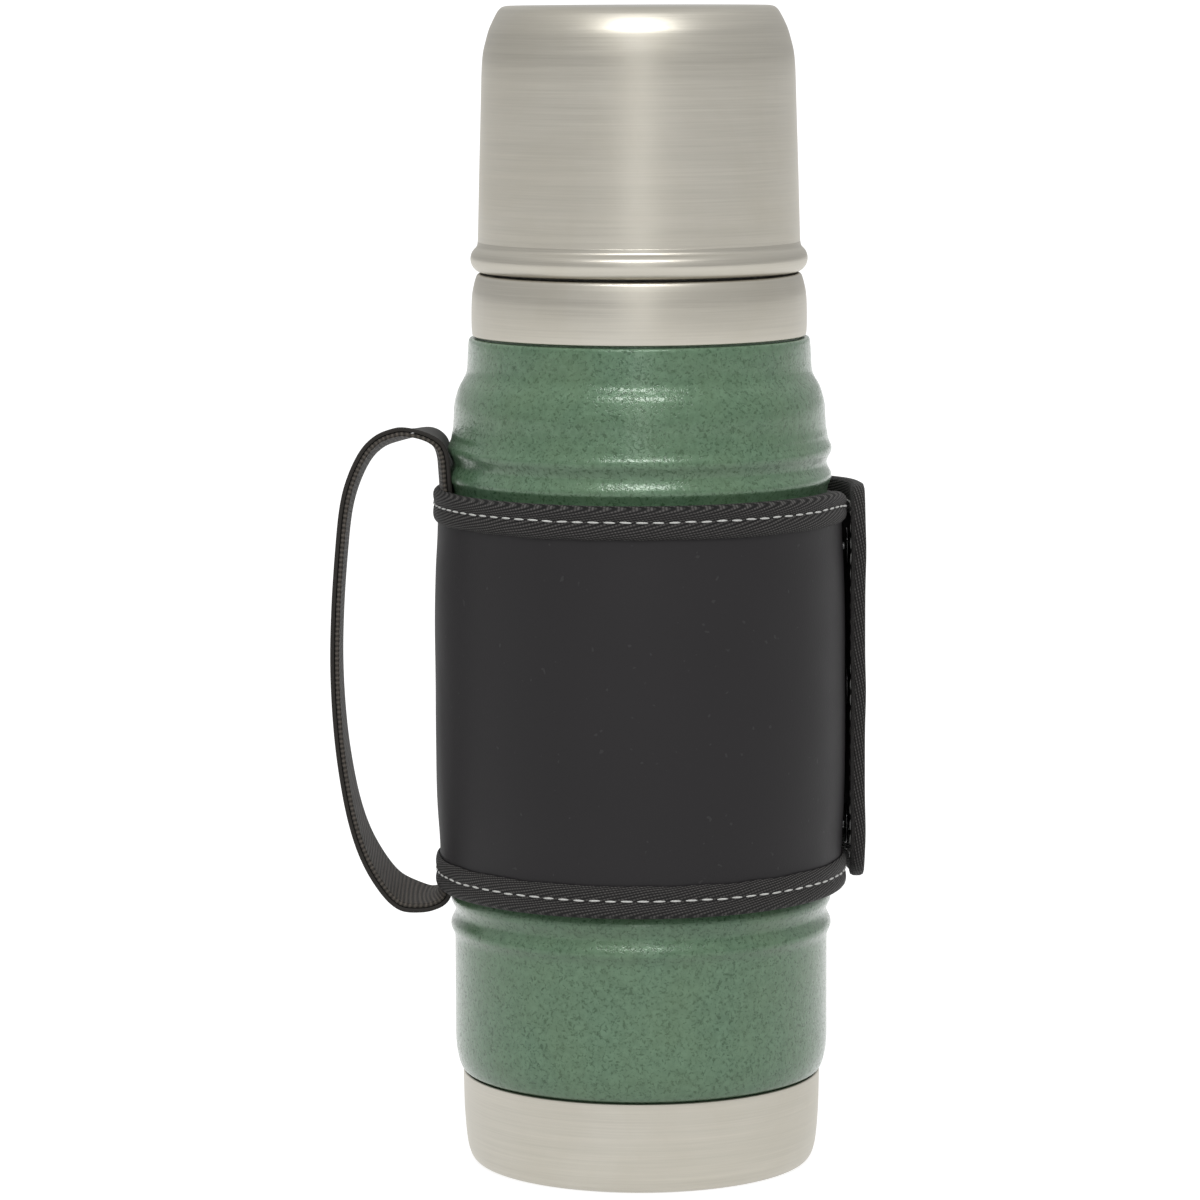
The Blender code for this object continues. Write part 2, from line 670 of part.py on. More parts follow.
def make_strap_tabs(finish):
    """The strap's sewn ends; a V is left at each for the strap to swing in."""
    upper = [
        (52.2, 172.0), (52.2, 180.0), (52.9, 184.5), (53.5, 189.0), (54.3, 192.2), (56.4, 195.4),
        (58.6, 197.0), (59.8, 197.4),
    ]
    lower = [
        (52.2, 90.0), (52.2, 82.0), (52.9, 77.5), (53.5, 73.0), (54.3, 70.8), (56.4, 69.0),
        (58.6, 68.5), (59.8, 68.4),
    ]
    wedges = [
        box_cutter(f"swing_room_{side:+.0f}", (-90.0, -40.0, 50.0), (STRAP_CUT_X + 0.7, 40.0, 220.0),
                   (STRAP_AXIS_X, 0.0), side * STRAP_SWING)
        for side in (-1.0, 0.0, 1.0)
    ]
    for name, line in (("strap_tab_top", upper[::-1]), ("strap_tab_bottom", lower)):
        tab = wrapped(name, line, TAB_T, finish, 180.0 - TAB_SWEEP / 2.0, TAB_SWEEP, 6)
        for wedge in wedges:
            boolean(tab, wedge)


def make_pivots():
    hinge = at_azimuth(FLAP_HINGE_R, FLAP_HINGE_AZ) / MM
    snaps = [f"snap_{kind}_{number}" for kind in ("cap", "socket") for number in (1, 2, 3)]
    pivot("flap_hinge", hinge.x, hinge.y, "flap_panel", "flap_binding", *snaps)
    pivot("strap_hinge", STRAP_AXIS_X, 0.0, "strap_leather", "strap_webbing")


def main():
    clear_scene()
    collection(PARTS)
    collection(CUTTERS)
    steel = material("brushed_steel", (0.50, 0.48, 0.42), 1.0, 0.32)
    bare_steel = material("bare_steel", (0.60, 0.60, 0.60), 1.0, 0.22)
    green = material("green_hammertone", (0.115, 0.215, 0.150), 0.3, 0.35)
    copper = material("copper_foil", (0.72, 0.40, 0.25), 1.0, 0.30)
    glass = material("seal_glass", (0.25, 0.30, 0.32), 0.0, 0.10)
    black = material("black_plastic", (0.020, 0.020, 0.022), 0.0, 0.45)
    white = material("thread_plastic", (0.30, 0.30, 0.29), 0.0, 0.45)
    rubber = material("silicone", (0.45, 0.44, 0.42), 0.0, 0.60)
    foam = material("foam", (0.75, 0.72, 0.62), 0.0, 0.90)
    leather = material("leatherette", (0.030, 0.028, 0.030), 0.0, 0.55)
    lining = material("lining", (0.060, 0.058, 0.055), 0.0, 0.90)
    tape = material("binding_tape", (0.020, 0.019, 0.018), 0.0, 0.80)
    webbing = material("webbing", (0.032, 0.028, 0.024), 0.0, 0.80)
    snaps = material("snap_black", (0.012, 0.012, 0.013), 0.6, 0.25)

    make_outer_shell(green)
    make_neck_collar(steel)
    make_base_cup(steel)
    make_base_plate(bare_steel)
    make_vacuum_fittings(glass, bare_steel)
    make_inner_vessel(bare_steel)
    make_radiation_foil(copper)
    make_neck_ring(white)
    make_cup_shell(steel)
    make_cup_thread_insert(white)
    make_cup_seal(rubber)
    make_stopper_body(black)
    make_stopper_cap(black)
    make_stopper_inside(foam, white)
    make_stopper_seal(rubber)
    make_valve(black, bare_steel, rubber)
    make_button_spring(bare_steel)
    make_sleeve(leather, lining, tape)
    make_end_binding(tape)
    make_flap(leather, tape)
    make_snaps(snaps)
    make_strap(leather, webbing)
    make_strap_tabs(webbing)
    make_pivots()


main()
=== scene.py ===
import math
import random

import bmesh
import bpy
from bpy.props import FloatProperty, FloatVectorProperty, IntProperty, PointerProperty
from mathutils import Matrix, Vector, noise


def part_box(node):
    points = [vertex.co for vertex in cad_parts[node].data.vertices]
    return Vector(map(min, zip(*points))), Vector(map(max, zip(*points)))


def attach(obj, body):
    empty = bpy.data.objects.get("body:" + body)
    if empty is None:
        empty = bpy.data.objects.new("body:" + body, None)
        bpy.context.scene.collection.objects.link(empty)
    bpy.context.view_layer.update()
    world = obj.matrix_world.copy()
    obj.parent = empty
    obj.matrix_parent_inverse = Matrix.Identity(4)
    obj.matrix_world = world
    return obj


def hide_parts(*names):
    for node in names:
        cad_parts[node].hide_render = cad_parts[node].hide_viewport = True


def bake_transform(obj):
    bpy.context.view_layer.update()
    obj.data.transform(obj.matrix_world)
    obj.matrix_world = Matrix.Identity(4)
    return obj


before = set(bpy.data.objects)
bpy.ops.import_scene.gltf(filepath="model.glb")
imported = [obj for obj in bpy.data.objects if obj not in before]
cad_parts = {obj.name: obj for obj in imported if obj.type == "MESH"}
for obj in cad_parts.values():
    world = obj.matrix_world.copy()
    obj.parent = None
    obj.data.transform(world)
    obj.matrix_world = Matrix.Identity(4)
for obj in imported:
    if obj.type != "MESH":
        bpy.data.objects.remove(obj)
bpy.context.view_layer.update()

bl_info = {
    "name": "Vacuum Flask",
    "version": (1, 0, 0),
    "blender": (4, 5, 0),
    "location": "View3D > Sidebar > Flask",
    "description": "Builds a steel vacuum flask with a cup lid, a wrapped sleeve and a strap",
    "category": "Add Mesh",
}

MM = 0.001


def cad_span(node, axis=2):
    """The lowest and highest place of a CAD node along an axis, in millimetres."""
    low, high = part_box(node)
    return low[axis] / MM, high[axis] / MM


SLEEVE_LOW = cad_span("bottom_binding")[0]
SLEEVE_HIGH = cad_span("top_binding")[1]
FLAP_LOW, FLAP_HIGH = cad_span("flap_binding")
STRAP_HALF = cad_span("strap_leather", 1)[1]
SNAP_HEIGHTS = [sum(cad_span(f"snap_cap_{number}")) / 2.0 for number in (1, 2, 3)]
SNAP_Y = sum(cad_span("snap_cap_1", 1)) / 2.0

# Lengths are in millimetres and turns in degrees, unless a line says otherwise.
TAPE_WALL = 0.8
PANEL_LOW, PANEL_HIGH = SLEEVE_LOW + TAPE_WALL, SLEEVE_HIGH - TAPE_WALL
FLAP_PANEL_LOW, FLAP_PANEL_HIGH = FLAP_LOW + TAPE_WALL, FLAP_HIGH - TAPE_WALL
SEAM_AZ = 55.0
SLEEVE_SWEEP = 329.0
LINING_SWEEP = 305.0
END_TAPE_AZ = 16.0
TAPE_R = 56.2
SLEEVE_CORNER_DEPTH = 9.0
SLEEVE_CORNER_FALL = 3.2
SLEEVE_CORNER_END = -19.0
FLAP_TAPE_CORNER = 12.5
FLAP_TAPE_START = 9.0
FLAP_STITCH_INSET = 4.3
STRAP_REST_R = 54.0
STRAP_MIDDLE = 133.0
STRAP_LEAN = 0.14
# The flap's line in plan, from the seam to its free end.
FLAP_ROUTE = (
    (34.11, 43.66), (40.86, 39.46), (49.08, 33.10), (55.24, 26.35), (58.24, 20.06),
    (59.5, 12.5), (59.35, 2.5), (59.1, -6.3),
)
# The strap's line from the side, as x and height, from its upper end to its lower end.
STRAP_ROUTE = (
    (-52.55, 176.5), (-52.7, 181.2), (-53.2, 186.0), (-53.5, 190.5), (-53.9, 194.6), (-55.2, 197.9),
    (-58.2, 199.9), (-62.0, 200.4), (-66.0, 199.9), (-70.6, 198.1), (-74.5, 194.2), (-77.9, 187.2),
    (-80.0, 179.0), (-81.4, 166.0), (-82.4, 152.0), (-82.8, 138.0), (-82.3, 124.0), (-81.0, 111.0),
    (-78.7, 98.0), (-75.6, 88.0), (-71.2, 79.8), (-66.4, 74.4), (-60.5, 72.3), (-57.2, 72.5),
    (-54.9, 74.0), (-53.8, 76.4), (-53.0, 79.8), (-52.55, 85.5),
)


# ---------------------------------------------------------------- settings

class FlaskShape(bpy.types.PropertyGroup):
    steps: IntProperty(
        name="Steps Round", description="Segments in a full turn of the large metal parts",
        default=192, min=48, max=360)
    stitch_pitch: FloatProperty(
        name="Stitch Pitch", description="Distance from one stitch to the next",
        default=0.0043, min=0.002, max=0.01, subtype="DISTANCE", unit="LENGTH")
    stitch_length: FloatProperty(
        name="Stitch Length", description="Visible length of one stitch",
        default=0.0032, min=0.001, max=0.008, subtype="DISTANCE", unit="LENGTH")
    slack: FloatProperty(
        name="Cloth Slack", description="How far the sleeve and its tape wander from a true round",
        default=0.00022, min=0.0, max=0.001, subtype="DISTANCE", unit="LENGTH")


class FlaskFinish(bpy.types.PropertyGroup):
    steel: FloatVectorProperty(
        name="Steel", description="Colour of the brushed steel", subtype="COLOR",
        default=(0.485, 0.463, 0.408), min=0.0, max=1.0)
    green: FloatVectorProperty(
        name="Enamel", description="Colour of the hammered enamel", subtype="COLOR",
        default=(0.101, 0.190, 0.113), min=0.0, max=1.0)
    leather: FloatVectorProperty(
        name="Leatherette", description="Colour of the sleeve and the flap", subtype="COLOR",
        default=(0.0142, 0.0130, 0.0142), min=0.0, max=1.0)
    tape: FloatVectorProperty(
        name="Tape", description="Colour of the binding tape", subtype="COLOR",
        default=(0.018, 0.017, 0.0165), min=0.0, max=1.0)
    thread: FloatVectorProperty(
        name="Thread", description="Colour of the stitches", subtype="COLOR",
        default=(0.60, 0.60, 0.58), min=0.0, max=1.0)


class FlaskStage(bpy.types.PropertyGroup):
    surround: FloatProperty(
        name="Surround", description="Brightness of the white surround", default=0.72,
        min=0.0, max=5.0)
    key_power: FloatProperty(
        name="Key Power", description="Power of the large soft light above the front",
        default=11.0, min=0.0, max=500.0, subtype="POWER", unit="POWER")
    floor_size: FloatProperty(
        name="Floor Size", description="Radius of the floor", default=400.0, min=2.0, max=1000.0,
        subtype="DISTANCE", unit="LENGTH")
    focal_length: FloatProperty(
        name="Focal Length", description="Lens of the camera", default=153.0, min=20.0, max=300.0,
        unit="CAMERA")


# ---------------------------------------------------------------- shaping helpers

def smooth_route(points, per_span=4):
    """A smooth line through the points."""
    spots = [Vector(point) for point in points]
    last = len(spots) - 1
    route = []
    for index in range(last):
        before, start = spots[max(index - 1, 0)], spots[index]
        end, after = spots[index + 1], spots[min(index + 2, last)]
        for step in range(per_span):
            t = step / per_span
            route.append(0.5 * (2.0 * start + (end - before) * t
                                + (2.0 * before - 5.0 * start + 4.0 * end - after) * t * t
                                + (3.0 * start - before - 3.0 * end + after) * t ** 3))
    return route + [spots[last]]


def curve(points, per_span=4):
    """A smooth line through the points, as pairs."""
    return [(spot[0], spot[1]) for spot in smooth_route(points, per_span)]


def outline(bm, points):
    """A closed wire of radii and heights; a third number at a point rounds its corner."""
    verts = [bm.verts.new(Vector((point[0], 0.0, point[1])) * MM) for point in points]
    for first, second in zip(verts, verts[1:] + verts[:1]):
        bm.edges.new((first, second))
    for vert, point in zip(verts, points):
        if len(point) > 2:
            bmesh.ops.bevel(
                bm, geom=[vert], offset=point[2] * MM, offset_type="OFFSET", segments=4,
                profile=0.5, affect="VERTICES", material=-1)


def tidy_normals(bm):
    """Merges doubles, drops slivers and turns every face outwards."""
    bmesh.ops.remove_doubles(bm, verts=bm.verts, dist=0.000002)
    bmesh.ops.dissolve_degenerate(bm, dist=0.000001, edges=bm.edges)
    bmesh.ops.recalc_face_normals(bm, faces=bm.faces)


def spin(bm, geom, angle, steps, rise=0.0, merge=False):
    """Carries the geometry round the flask's axis, climbing by rise at each step."""
    bmesh.ops.spin(
        bm, geom=geom, cent=(0.0, 0.0, 0.0), axis=(0.0, 0.0, 1.0), dvec=(0.0, 0.0, rise),
        angle=angle, steps=steps, use_merge=merge, use_duplicate=False)
    tidy_normals(bm)


def turned(points, steps):
    """A closed solid of revolution about the flask's axis."""
    bm = bmesh.new()
    outline(bm, points)
    spin(bm, bm.verts[:] + bm.edges[:], math.tau, steps, merge=True)
    return bm


def wrapped(points, steps, sweep=SLEEVE_SWEEP):
    """A closed section wrapped part of the way round from the seam, with flat ends."""
    bm = bmesh.new()
    outline(bm, points)
    bmesh.ops.contextual_create(bm, geom=bm.edges[:])
    bmesh.ops.rotate(bm, matrix=Matrix.Rotation(math.radians(SEAM_AZ), 3, "Z"), verts=bm.verts)
    spin(bm, bm.faces[:], math.radians(sweep), steps)
    return bm


def thread_ridge(bm, root_r, crest_r, z_low, turns=2.0, pitch=4.0, steps=72):
    """A helical thread ridge with its foot buried in the wall that it stands on."""
    ridge = bmesh.new()
    section = ((root_r, -1.0), (crest_r, -0.5), (crest_r, 0.5), (root_r, 1.0))
    verts = [ridge.verts.new(Vector((radius, 0.0, z_low + rise)) * MM) for radius, rise in section]
    ridge.faces.new(verts)
    spin(ridge, ridge.faces[:], math.tau * turns, int(steps * turns), pitch * MM / steps)
    join(bm, ridge)


def join(bm, other):
    """Moves the other mesh's parts into this one."""
    mesh = bpy.data.meshes.new("part")
    other.to_mesh(mesh)
    other.free()
    bm.from_mesh(mesh)
    bpy.data.meshes.remove(mesh)


def azimuth_of(co):
    """Degrees round from the seam; a place a hair short of the seam counts as just below 0."""
    hair = 0.05
    return (math.degrees(math.atan2(co.y, co.x)) - SEAM_AZ + hair) % 360.0 - hair


def drift(where, scale, seed=0.0):
    """A smooth wander between -1 and 1."""
    return noise.noise(Vector((where * scale, seed, seed * 0.37)))


def store_weave(bm, places):
    """Keeps each vertex's place along and across the cloth, for its weave."""
    layer = bm.verts.layers.float_vector.new("weave")
    for vert in bm.verts:
        vert[layer] = places(vert.co)


def carry(bm, layer, face, stations, run=0.0):
    """Extrudes the face from station to station, keeping the run so far for the weave."""
    for before, after in zip(stations, stations[1:]):
        grown = bmesh.ops.extrude_face_region(bm, geom=[face])["geom"]
        face = next(item for item in grown if isinstance(item, bmesh.types.BMFace))
        moved = [item for item in grown if isinstance(item, bmesh.types.BMVert)]
        bmesh.ops.transform(bm, matrix=after @ before.inverted(), verts=moved)
        run += (after.translation - before.translation).length
        for vert in moved:
            vert[layer] = Vector((run, vert[layer].y, 0.0))
    bmesh.ops.recalc_face_normals(bm, faces=bm.faces)


def swept(section, stations):
    """A closed section carried along stations, each a 4x4 matrix."""
    bm = bmesh.new()
    layer = bm.verts.layers.float_vector.new("weave")
    verts = []
    across = 0.0
    for index, point in enumerate(section):
        if index:
            across += (Vector(point) - Vector(section[index - 1])).length
        vert = bm.verts.new(Vector((0.0, point[0], point[1])) * MM)
        vert[layer] = Vector((0.0, across * MM, 0.0))
        verts.append(vert)
    face = bm.faces.new(verts)
    bmesh.ops.transform(bm, matrix=stations[0], verts=verts)
    carry(bm, layer, face, stations)
    return bm


def station(spot, along, normal):
    """A place with X along the path, Y across it and Z out of the surface."""
    along = along.normalized()
    across = normal.cross(along).normalized()
    out = along.cross(across)
    turn = Matrix((along, across, out)).transposed().to_4x4()
    return Matrix.Translation(spot) @ turn


def place(name, bm, finish, body, nodes=(), crease=32.0):
    """Makes a finished piece of the mesh and hangs it on its body, in place of the CAD nodes.

    Its material is the one named like its finish.
    """
    mesh = bpy.data.meshes.new(name)
    bm.to_mesh(mesh)
    bm.free()
    mesh.materials.append(bpy.data.materials["flask_" + finish])
    mesh.shade_smooth()
    mesh.set_sharp_from_angle(angle=math.radians(crease))
    piece = bpy.data.objects.new(name, mesh)
    bpy.context.scene.collection.objects.link(piece)
    if body:
        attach(piece, body)
    if nodes:
        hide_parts(*nodes)
    return piece


def stitch(bm, spot, along, out, length, thick=0.27):
    """One stitch, thickest in its middle, lying on the cloth."""
    size = Matrix.Diagonal((length / 2.0, thick * MM, thick * MM, 1.0))
    bmesh.ops.create_uvsphere(
        bm, u_segments=8, v_segments=6, radius=1.0,
        matrix=station(spot, along, out) @ size @ Matrix.Rotation(math.radians(90.0), 4, "Y"))


# ---------------------------------------------------------------- finish helpers

class Finish:
    """A material with short ways of adding its nodes."""

    def __init__(self, name, roughness=0.5, metallic=0.0, **fixed):
        self.material = bpy.data.materials.new("flask_" + name)
        self.material.use_nodes = True
        self.tree = self.material.node_tree
        self.shader = self.tree.nodes["Principled BSDF"]
        self.set("Roughness", roughness)
        self.set("Metallic", metallic)
        for socket, value in fixed.items():
            self.set(socket.replace("_", " "), value)

    def feed(self, target, value):
        """Links the value to an input, or sets the input to it."""
        if isinstance(value, bpy.types.NodeSocket):
            self.tree.links.new(value, target)
        elif target.type == "RGBA":
            target.default_value = (*value[:3], 1.0)
        else:
            target.default_value = value

    def set(self, socket, value):
        self.feed(self.shader.inputs[socket], value)

    def add(self, kind, inputs=(), **settings):
        made = self.tree.nodes.new(kind)
        for key, value in settings.items():
            setattr(made, key, value)
        for key, value in dict(inputs).items():
            self.feed(made.inputs[key], value)
        return made

    def place(self):
        return self.add("ShaderNodeTexCoord").outputs["Object"]

    def weave(self):
        return self.add("ShaderNodeAttribute", attribute_name="weave").outputs["Vector"]

    def split(self, vector):
        return self.add("ShaderNodeSeparateXYZ", {0: vector}).outputs

    def vector(self, x, y, z):
        return self.add("ShaderNodeCombineXYZ", {0: x, 1: y, 2: z}).outputs[0]

    def scaled(self, vector, scale):
        return self.add("ShaderNodeMapping", {"Vector": vector, "Scale": scale}).outputs[0]

    def math(self, operation, first, second=0.0):
        return self.add("ShaderNodeMath", {0: first, 1: second}, operation=operation).outputs[0]

    def noise(self, vector, scale, detail=2.0, roughness=0.5, distortion=0.0):
        return self.add("ShaderNodeTexNoise", {
            "Vector": vector, "Scale": scale, "Detail": detail, "Roughness": roughness,
            "Distortion": distortion}).outputs["Fac"]

    def cells(self, vector, scale):
        made = self.add("ShaderNodeTexVoronoi", {"Vector": vector, "Scale": scale})
        return made.outputs["Distance"]

    def span(self, value, low, high, to_low=0.0, to_high=1.0):
        return self.add("ShaderNodeMapRange", {
            "Value": value, "From Min": low, "From Max": high, "To Min": to_low,
            "To Max": to_high}).outputs["Result"]

    def blend(self, factor, first, second):
        return self.add(
            "ShaderNodeMix", {0: factor, 6: first, 7: second}, data_type="RGBA").outputs[2]

    def shades(self, value, colour, low, high):
        """The colour, from low times to high times its brightness, as value goes from 0 to 1."""
        return self.blend(value, tuple(c * low for c in colour), tuple(c * high for c in colour))

    def bump(self, height, strength, distance, socket="Normal"):
        made = self.add("ShaderNodeBump", {
            "Height": height, "Strength": strength, "Distance": distance})
        self.set(socket, made.outputs[0])


def brushed_steel(name, colour, fine=2400.0, worn=1.0):
    """Steel turned and brushed round its axis, with smudges and a few deeper scratches."""
    f = Finish(name, metallic=1.0, Anisotropic=0.55)
    spot = f.place()
    x, y, z = f.split(spot)
    flat = f.vector(x, y, 0.0)
    radius = f.add("ShaderNodeVectorMath", {0: flat}, operation="LENGTH").outputs["Value"]
    fall = f.math("SUBTRACT", z, radius)
    lines = f.noise(f.scaled(f.vector(x, y, fall), (26.0, 26.0, fine)), 1.0, 3.0, 0.65)
    bands = f.noise(f.scaled(f.vector(x, y, fall), (9.0, 9.0, 420.0)), 1.0, 3.0, 0.6)
    smudge = f.noise(spot, 22.0, 5.0, 0.62, 0.6)
    cloud = f.noise(f.scaled(spot, (10.0, 10.0, 3.5)), 1.6, 4.0, 0.55)
    grain = f.span(f.math("ADD", f.math("MULTIPLY", lines, 0.6), f.math("MULTIPLY", bands, 0.4)),
                   0.32, 0.68)
    toned = f.shades(grain, colour, 0.90, 1.09)
    stain = f.span(smudge, 0.42, 0.70, 0.0, 0.30 * worn)
    toned = f.blend(stain, toned, (colour[0] * 0.84, colour[1] * 0.81, colour[2] * 0.74))
    f.set("Base Color", toned)
    rough = f.math("ADD", f.math("MULTIPLY", grain, 0.09), f.math("MULTIPLY", cloud, 0.16))
    f.set("Roughness", f.math("ADD", rough, 0.25))
    f.set("Tangent", f.add("ShaderNodeTangent", direction_type="RADIAL", axis="Z").outputs[0])
    f.bump(grain, 0.12, 0.00006)


def hammered_green(colour):
    """Baked enamel with metal flake that has drawn into small dimples as it dried."""
    f = Finish(
        "green_hammertone", metallic=0.15, roughness=0.36, Coat_Weight=0.8, Coat_Roughness=0.15,
        Specular_IOR_Level=0.1)
    spot = f.place()
    wander = f.add("ShaderNodeTexNoise", {"Vector": spot, "Scale": 700.0, "Detail": 2.0})
    pulled = f.add("ShaderNodeVectorMath", {
        0: wander.outputs["Color"], 1: (0.0022, 0.0022, 0.0022)}, operation="MULTIPLY").outputs[0]
    moved = f.add("ShaderNodeVectorMath", {0: spot, 1: pulled}, operation="ADD").outputs[0]
    dimple = f.cells(moved, 900.0)
    pit = f.span(f.noise(moved, 1080.0, 2.5, 0.65), 0.35, 0.49)
    mottle = f.span(f.noise(moved, 480.0, 3.0, 0.6), 0.34, 0.66)
    patch = f.span(f.noise(spot, 60.0, 4.0, 0.6), 0.3, 0.7)
    tone = f.math("MULTIPLY", pit, f.math("ADD", f.math("MULTIPLY", mottle, 0.42), 0.58))
    toned = f.blend(tone, tuple(c * s for c, s in zip(colour, (0.34, 0.46, 0.36))),
                    tuple(c * s for c, s in zip(colour, (1.20, 1.15, 1.18))))
    toned = f.blend(f.math("MULTIPLY", patch, 0.30), toned,
                    (colour[0] * 1.30, colour[1] * 1.08, colour[2] * 0.92))
    f.set("Base Color", toned)
    f.set("Roughness", f.span(pit, 0.0, 1.0, 0.46, 0.30))
    height = f.math("ADD", f.math("MULTIPLY", dimple, -0.6), f.math("MULTIPLY", tone, 0.6))
    f.bump(height, 0.34, 0.00022)
    f.bump(height, 0.30, 0.00022, "Coat Normal")


def leatherette(name, colour, coarse=1.0):
    """A coated cloth with a fine pebble grain, faint clouding and the odd bit of lint."""
    f = Finish(name, roughness=0.58, Specular_IOR_Level=0.28)
    spot = f.place()
    pebble = f.cells(spot, 1700.0 / coarse)
    skin = f.noise(spot, 2600.0, 2.0, 0.6)
    cloud = f.noise(spot, 26.0, 4.0, 0.6)
    lint = f.span(f.noise(spot, 520.0, 1.0), 0.735, 0.78)
    toned = f.shades(f.span(cloud, 0.3, 0.7), colour, 0.86, 1.16)
    toned = f.blend(f.math("MULTIPLY", lint, 0.13), toned, (0.11, 0.11, 0.11))
    f.set("Base Color", toned)
    f.set("Roughness", f.span(cloud, 0.3, 0.7, 0.54, 0.64))
    height = f.math("ADD", f.math("MULTIPLY", pebble, 0.8), f.math("MULTIPLY", skin, 0.35))
    f.bump(height, 0.16, 0.00012)


def twill_tape(name, colour):
    """Woven binding tape; its ridges climb slowly along the run, with painted highlights on them
    and painted shade between them.
    """
    f = Finish(name, roughness=0.72, Specular_IOR_Level=0.25, Sheen_Weight=0.03,
               Sheen_Roughness=0.4)
    run, across, _ = f.split(f.weave())
    ridge_pitch, warp_pitch = 0.78 * MM, 0.98 * MM
    climb = f.math("ADD", across, f.math("MULTIPLY", run, -0.20))
    ridge = f.math("SINE", f.math("MULTIPLY", climb, math.tau / ridge_pitch))
    slant = f.math("ADD", run, f.math("MULTIPLY", across, 0.55))
    warp = f.math("SINE", f.math("MULTIPLY", slant, math.tau / warp_pitch))
    fuzz = f.noise(f.place(), 2300.0, 2.0, 0.7)
    weave = f.math("MULTIPLY", f.span(ridge, -0.7, 0.9), f.span(warp, -1.0, 0.5, 0.25, 1.0))
    weave_painted_light = f.math("MULTIPLY", weave, f.span(fuzz, 0.3, 0.7, 0.55, 1.25))
    # Painted light: the base colour runs from 0.22 to 5.4 times the tape's colour with the weave, a
    # painted highlight on each ridge and painted shade in the grooves between them.
    f.set("Base Color", f.shades(weave_painted_light, colour, 0.22, 5.4))
    f.bump(weave, 0.75, 0.00022)


def ribbed_webbing(name, colour):
    """Stout webbing with ribs across it and a rolled edge, with painted highlights on the ribs and
    painted shade between them.
    """
    f = Finish(name, roughness=0.66, Specular_IOR_Level=0.28, Sheen_Weight=0.04,
               Sheen_Roughness=0.4)
    run, across, _ = f.split(f.weave())
    rib_pitch, cord_pitch = 1.3 * MM, 1.1 * MM
    rib = f.math("SINE", f.math("MULTIPLY", run, math.tau / rib_pitch))
    cord = f.math("SINE", f.math("MULTIPLY", across, math.tau / cord_pitch))
    fuzz = f.noise(f.place(), 1900.0, 2.0, 0.7)
    weave = f.math("ADD", f.math("MULTIPLY", f.span(rib, -0.8, 0.8), 0.7),
                   f.math("MULTIPLY", f.span(cord, -1.0, 1.0), 0.3))
    weave_painted_light = f.math("MULTIPLY", weave, f.span(fuzz, 0.3, 0.7, 0.6, 1.2))
    # Painted light: the base colour runs from 0.4 to 3.6 times the webbing's colour with the ribs
    # and cords, a painted highlight on each rib and painted shade between them.
    f.set("Base Color", f.shades(weave_painted_light, colour, 0.4, 3.6))
    f.bump(weave, 0.7, 0.0003)


def moulded(name, colour, roughness, speckle=0.12, grain=1500.0, strength=0.08, **fixed):
    """Moulded plastic or rubber with a fine spark-eroded skin."""
    f = Finish(name, **fixed)
    spot = f.place()
    skin = f.noise(spot, grain, 3.0, 0.6)
    cloud = f.span(f.noise(spot, 45.0, 3.0, 0.5), 0.3, 0.7)
    f.set("Base Color", f.shades(cloud, colour, 1.0 - speckle, 1.0 + speckle))
    f.set("Roughness", f.span(cloud, 0.0, 1.0, roughness * 0.9, roughness * 1.1))
    f.bump(skin, strength, 0.0001)


def make_finishes():
    look = bpy.context.scene.flask_finish
    steel = tuple(look.steel)
    brushed_steel("brushed_steel", steel)
    brushed_steel("bare_steel", (0.56, 0.55, 0.53), 1500.0, 0.4)
    hammered_green(tuple(look.green))
    leatherette("leatherette", tuple(look.leather))
    leatherette("strap_facing", (0.017, 0.0145, 0.012), 1.2)
    twill_tape("binding_tape", tuple(look.tape))
    ribbed_webbing("webbing", (0.030, 0.026, 0.022))
    moulded("lining", (0.05, 0.048, 0.046), 0.9, 0.2, 900.0, 0.4, Sheen_Weight=0.3)
    moulded("snap_black", (0.016, 0.016, 0.017), 0.2, 0.1, 700.0, 0.03, Metallic=0.7,
            Coat_Weight=0.6)
    moulded("black_plastic", (0.018, 0.018, 0.02), 0.42)
    moulded("thread_plastic", (0.30, 0.30, 0.29), 0.45)
    moulded("silicone", (0.42, 0.41, 0.39), 0.55, Subsurface_Weight=0.1)
    moulded("foam", (0.72, 0.69, 0.60), 0.9, 0.1, 600.0, 0.5)
    moulded("seal_glass", (0.16, 0.19, 0.21), 0.1, 0.1, 200.0, 0.02, Coat_Weight=0.5)
    moulded("copper_foil", (0.72, 0.40, 0.25), 0.3, 0.08, 120.0, 0.2, Metallic=1.0)
    f = Finish("stitch_thread", roughness=0.55, Sheen_Weight=0.2, Sheen_Roughness=0.4)
    ply = f.noise(f.scaled(f.place(), (1.0, 1.0, 2.2)), 2600.0, 2.0, 0.6)
    f.set("Base Color", f.shades(f.span(ply, 0.3, 0.7), tuple(look.thread), 0.66, 1.15))
    f.bump(ply, 0.4, 0.00008)


# ---------------------------------------------------------------- metal parts

def ring_line(upper, lower):
    """Two soft raised rings with a valley between them, from the top down."""
    middle = (upper + lower) / 2.0
    line = [(51.0, upper + 4.0), (51.12, upper + 2.9)]
    line += [(51.55, upper + 1.7), (51.98, upper + 0.75), (52.1, upper), (51.95, upper - 0.85)]
    line += [(51.4, upper - 1.95), (50.98, upper - 2.9), (50.8, middle), (50.98, lower + 2.9)]
    line += [(51.4, lower + 1.95), (51.95, lower + 0.85), (52.1, lower), (51.98, lower - 0.75)]
    return line + [(51.55, lower - 1.7), (51.12, lower - 2.9), (51.0, lower - 4.0)]


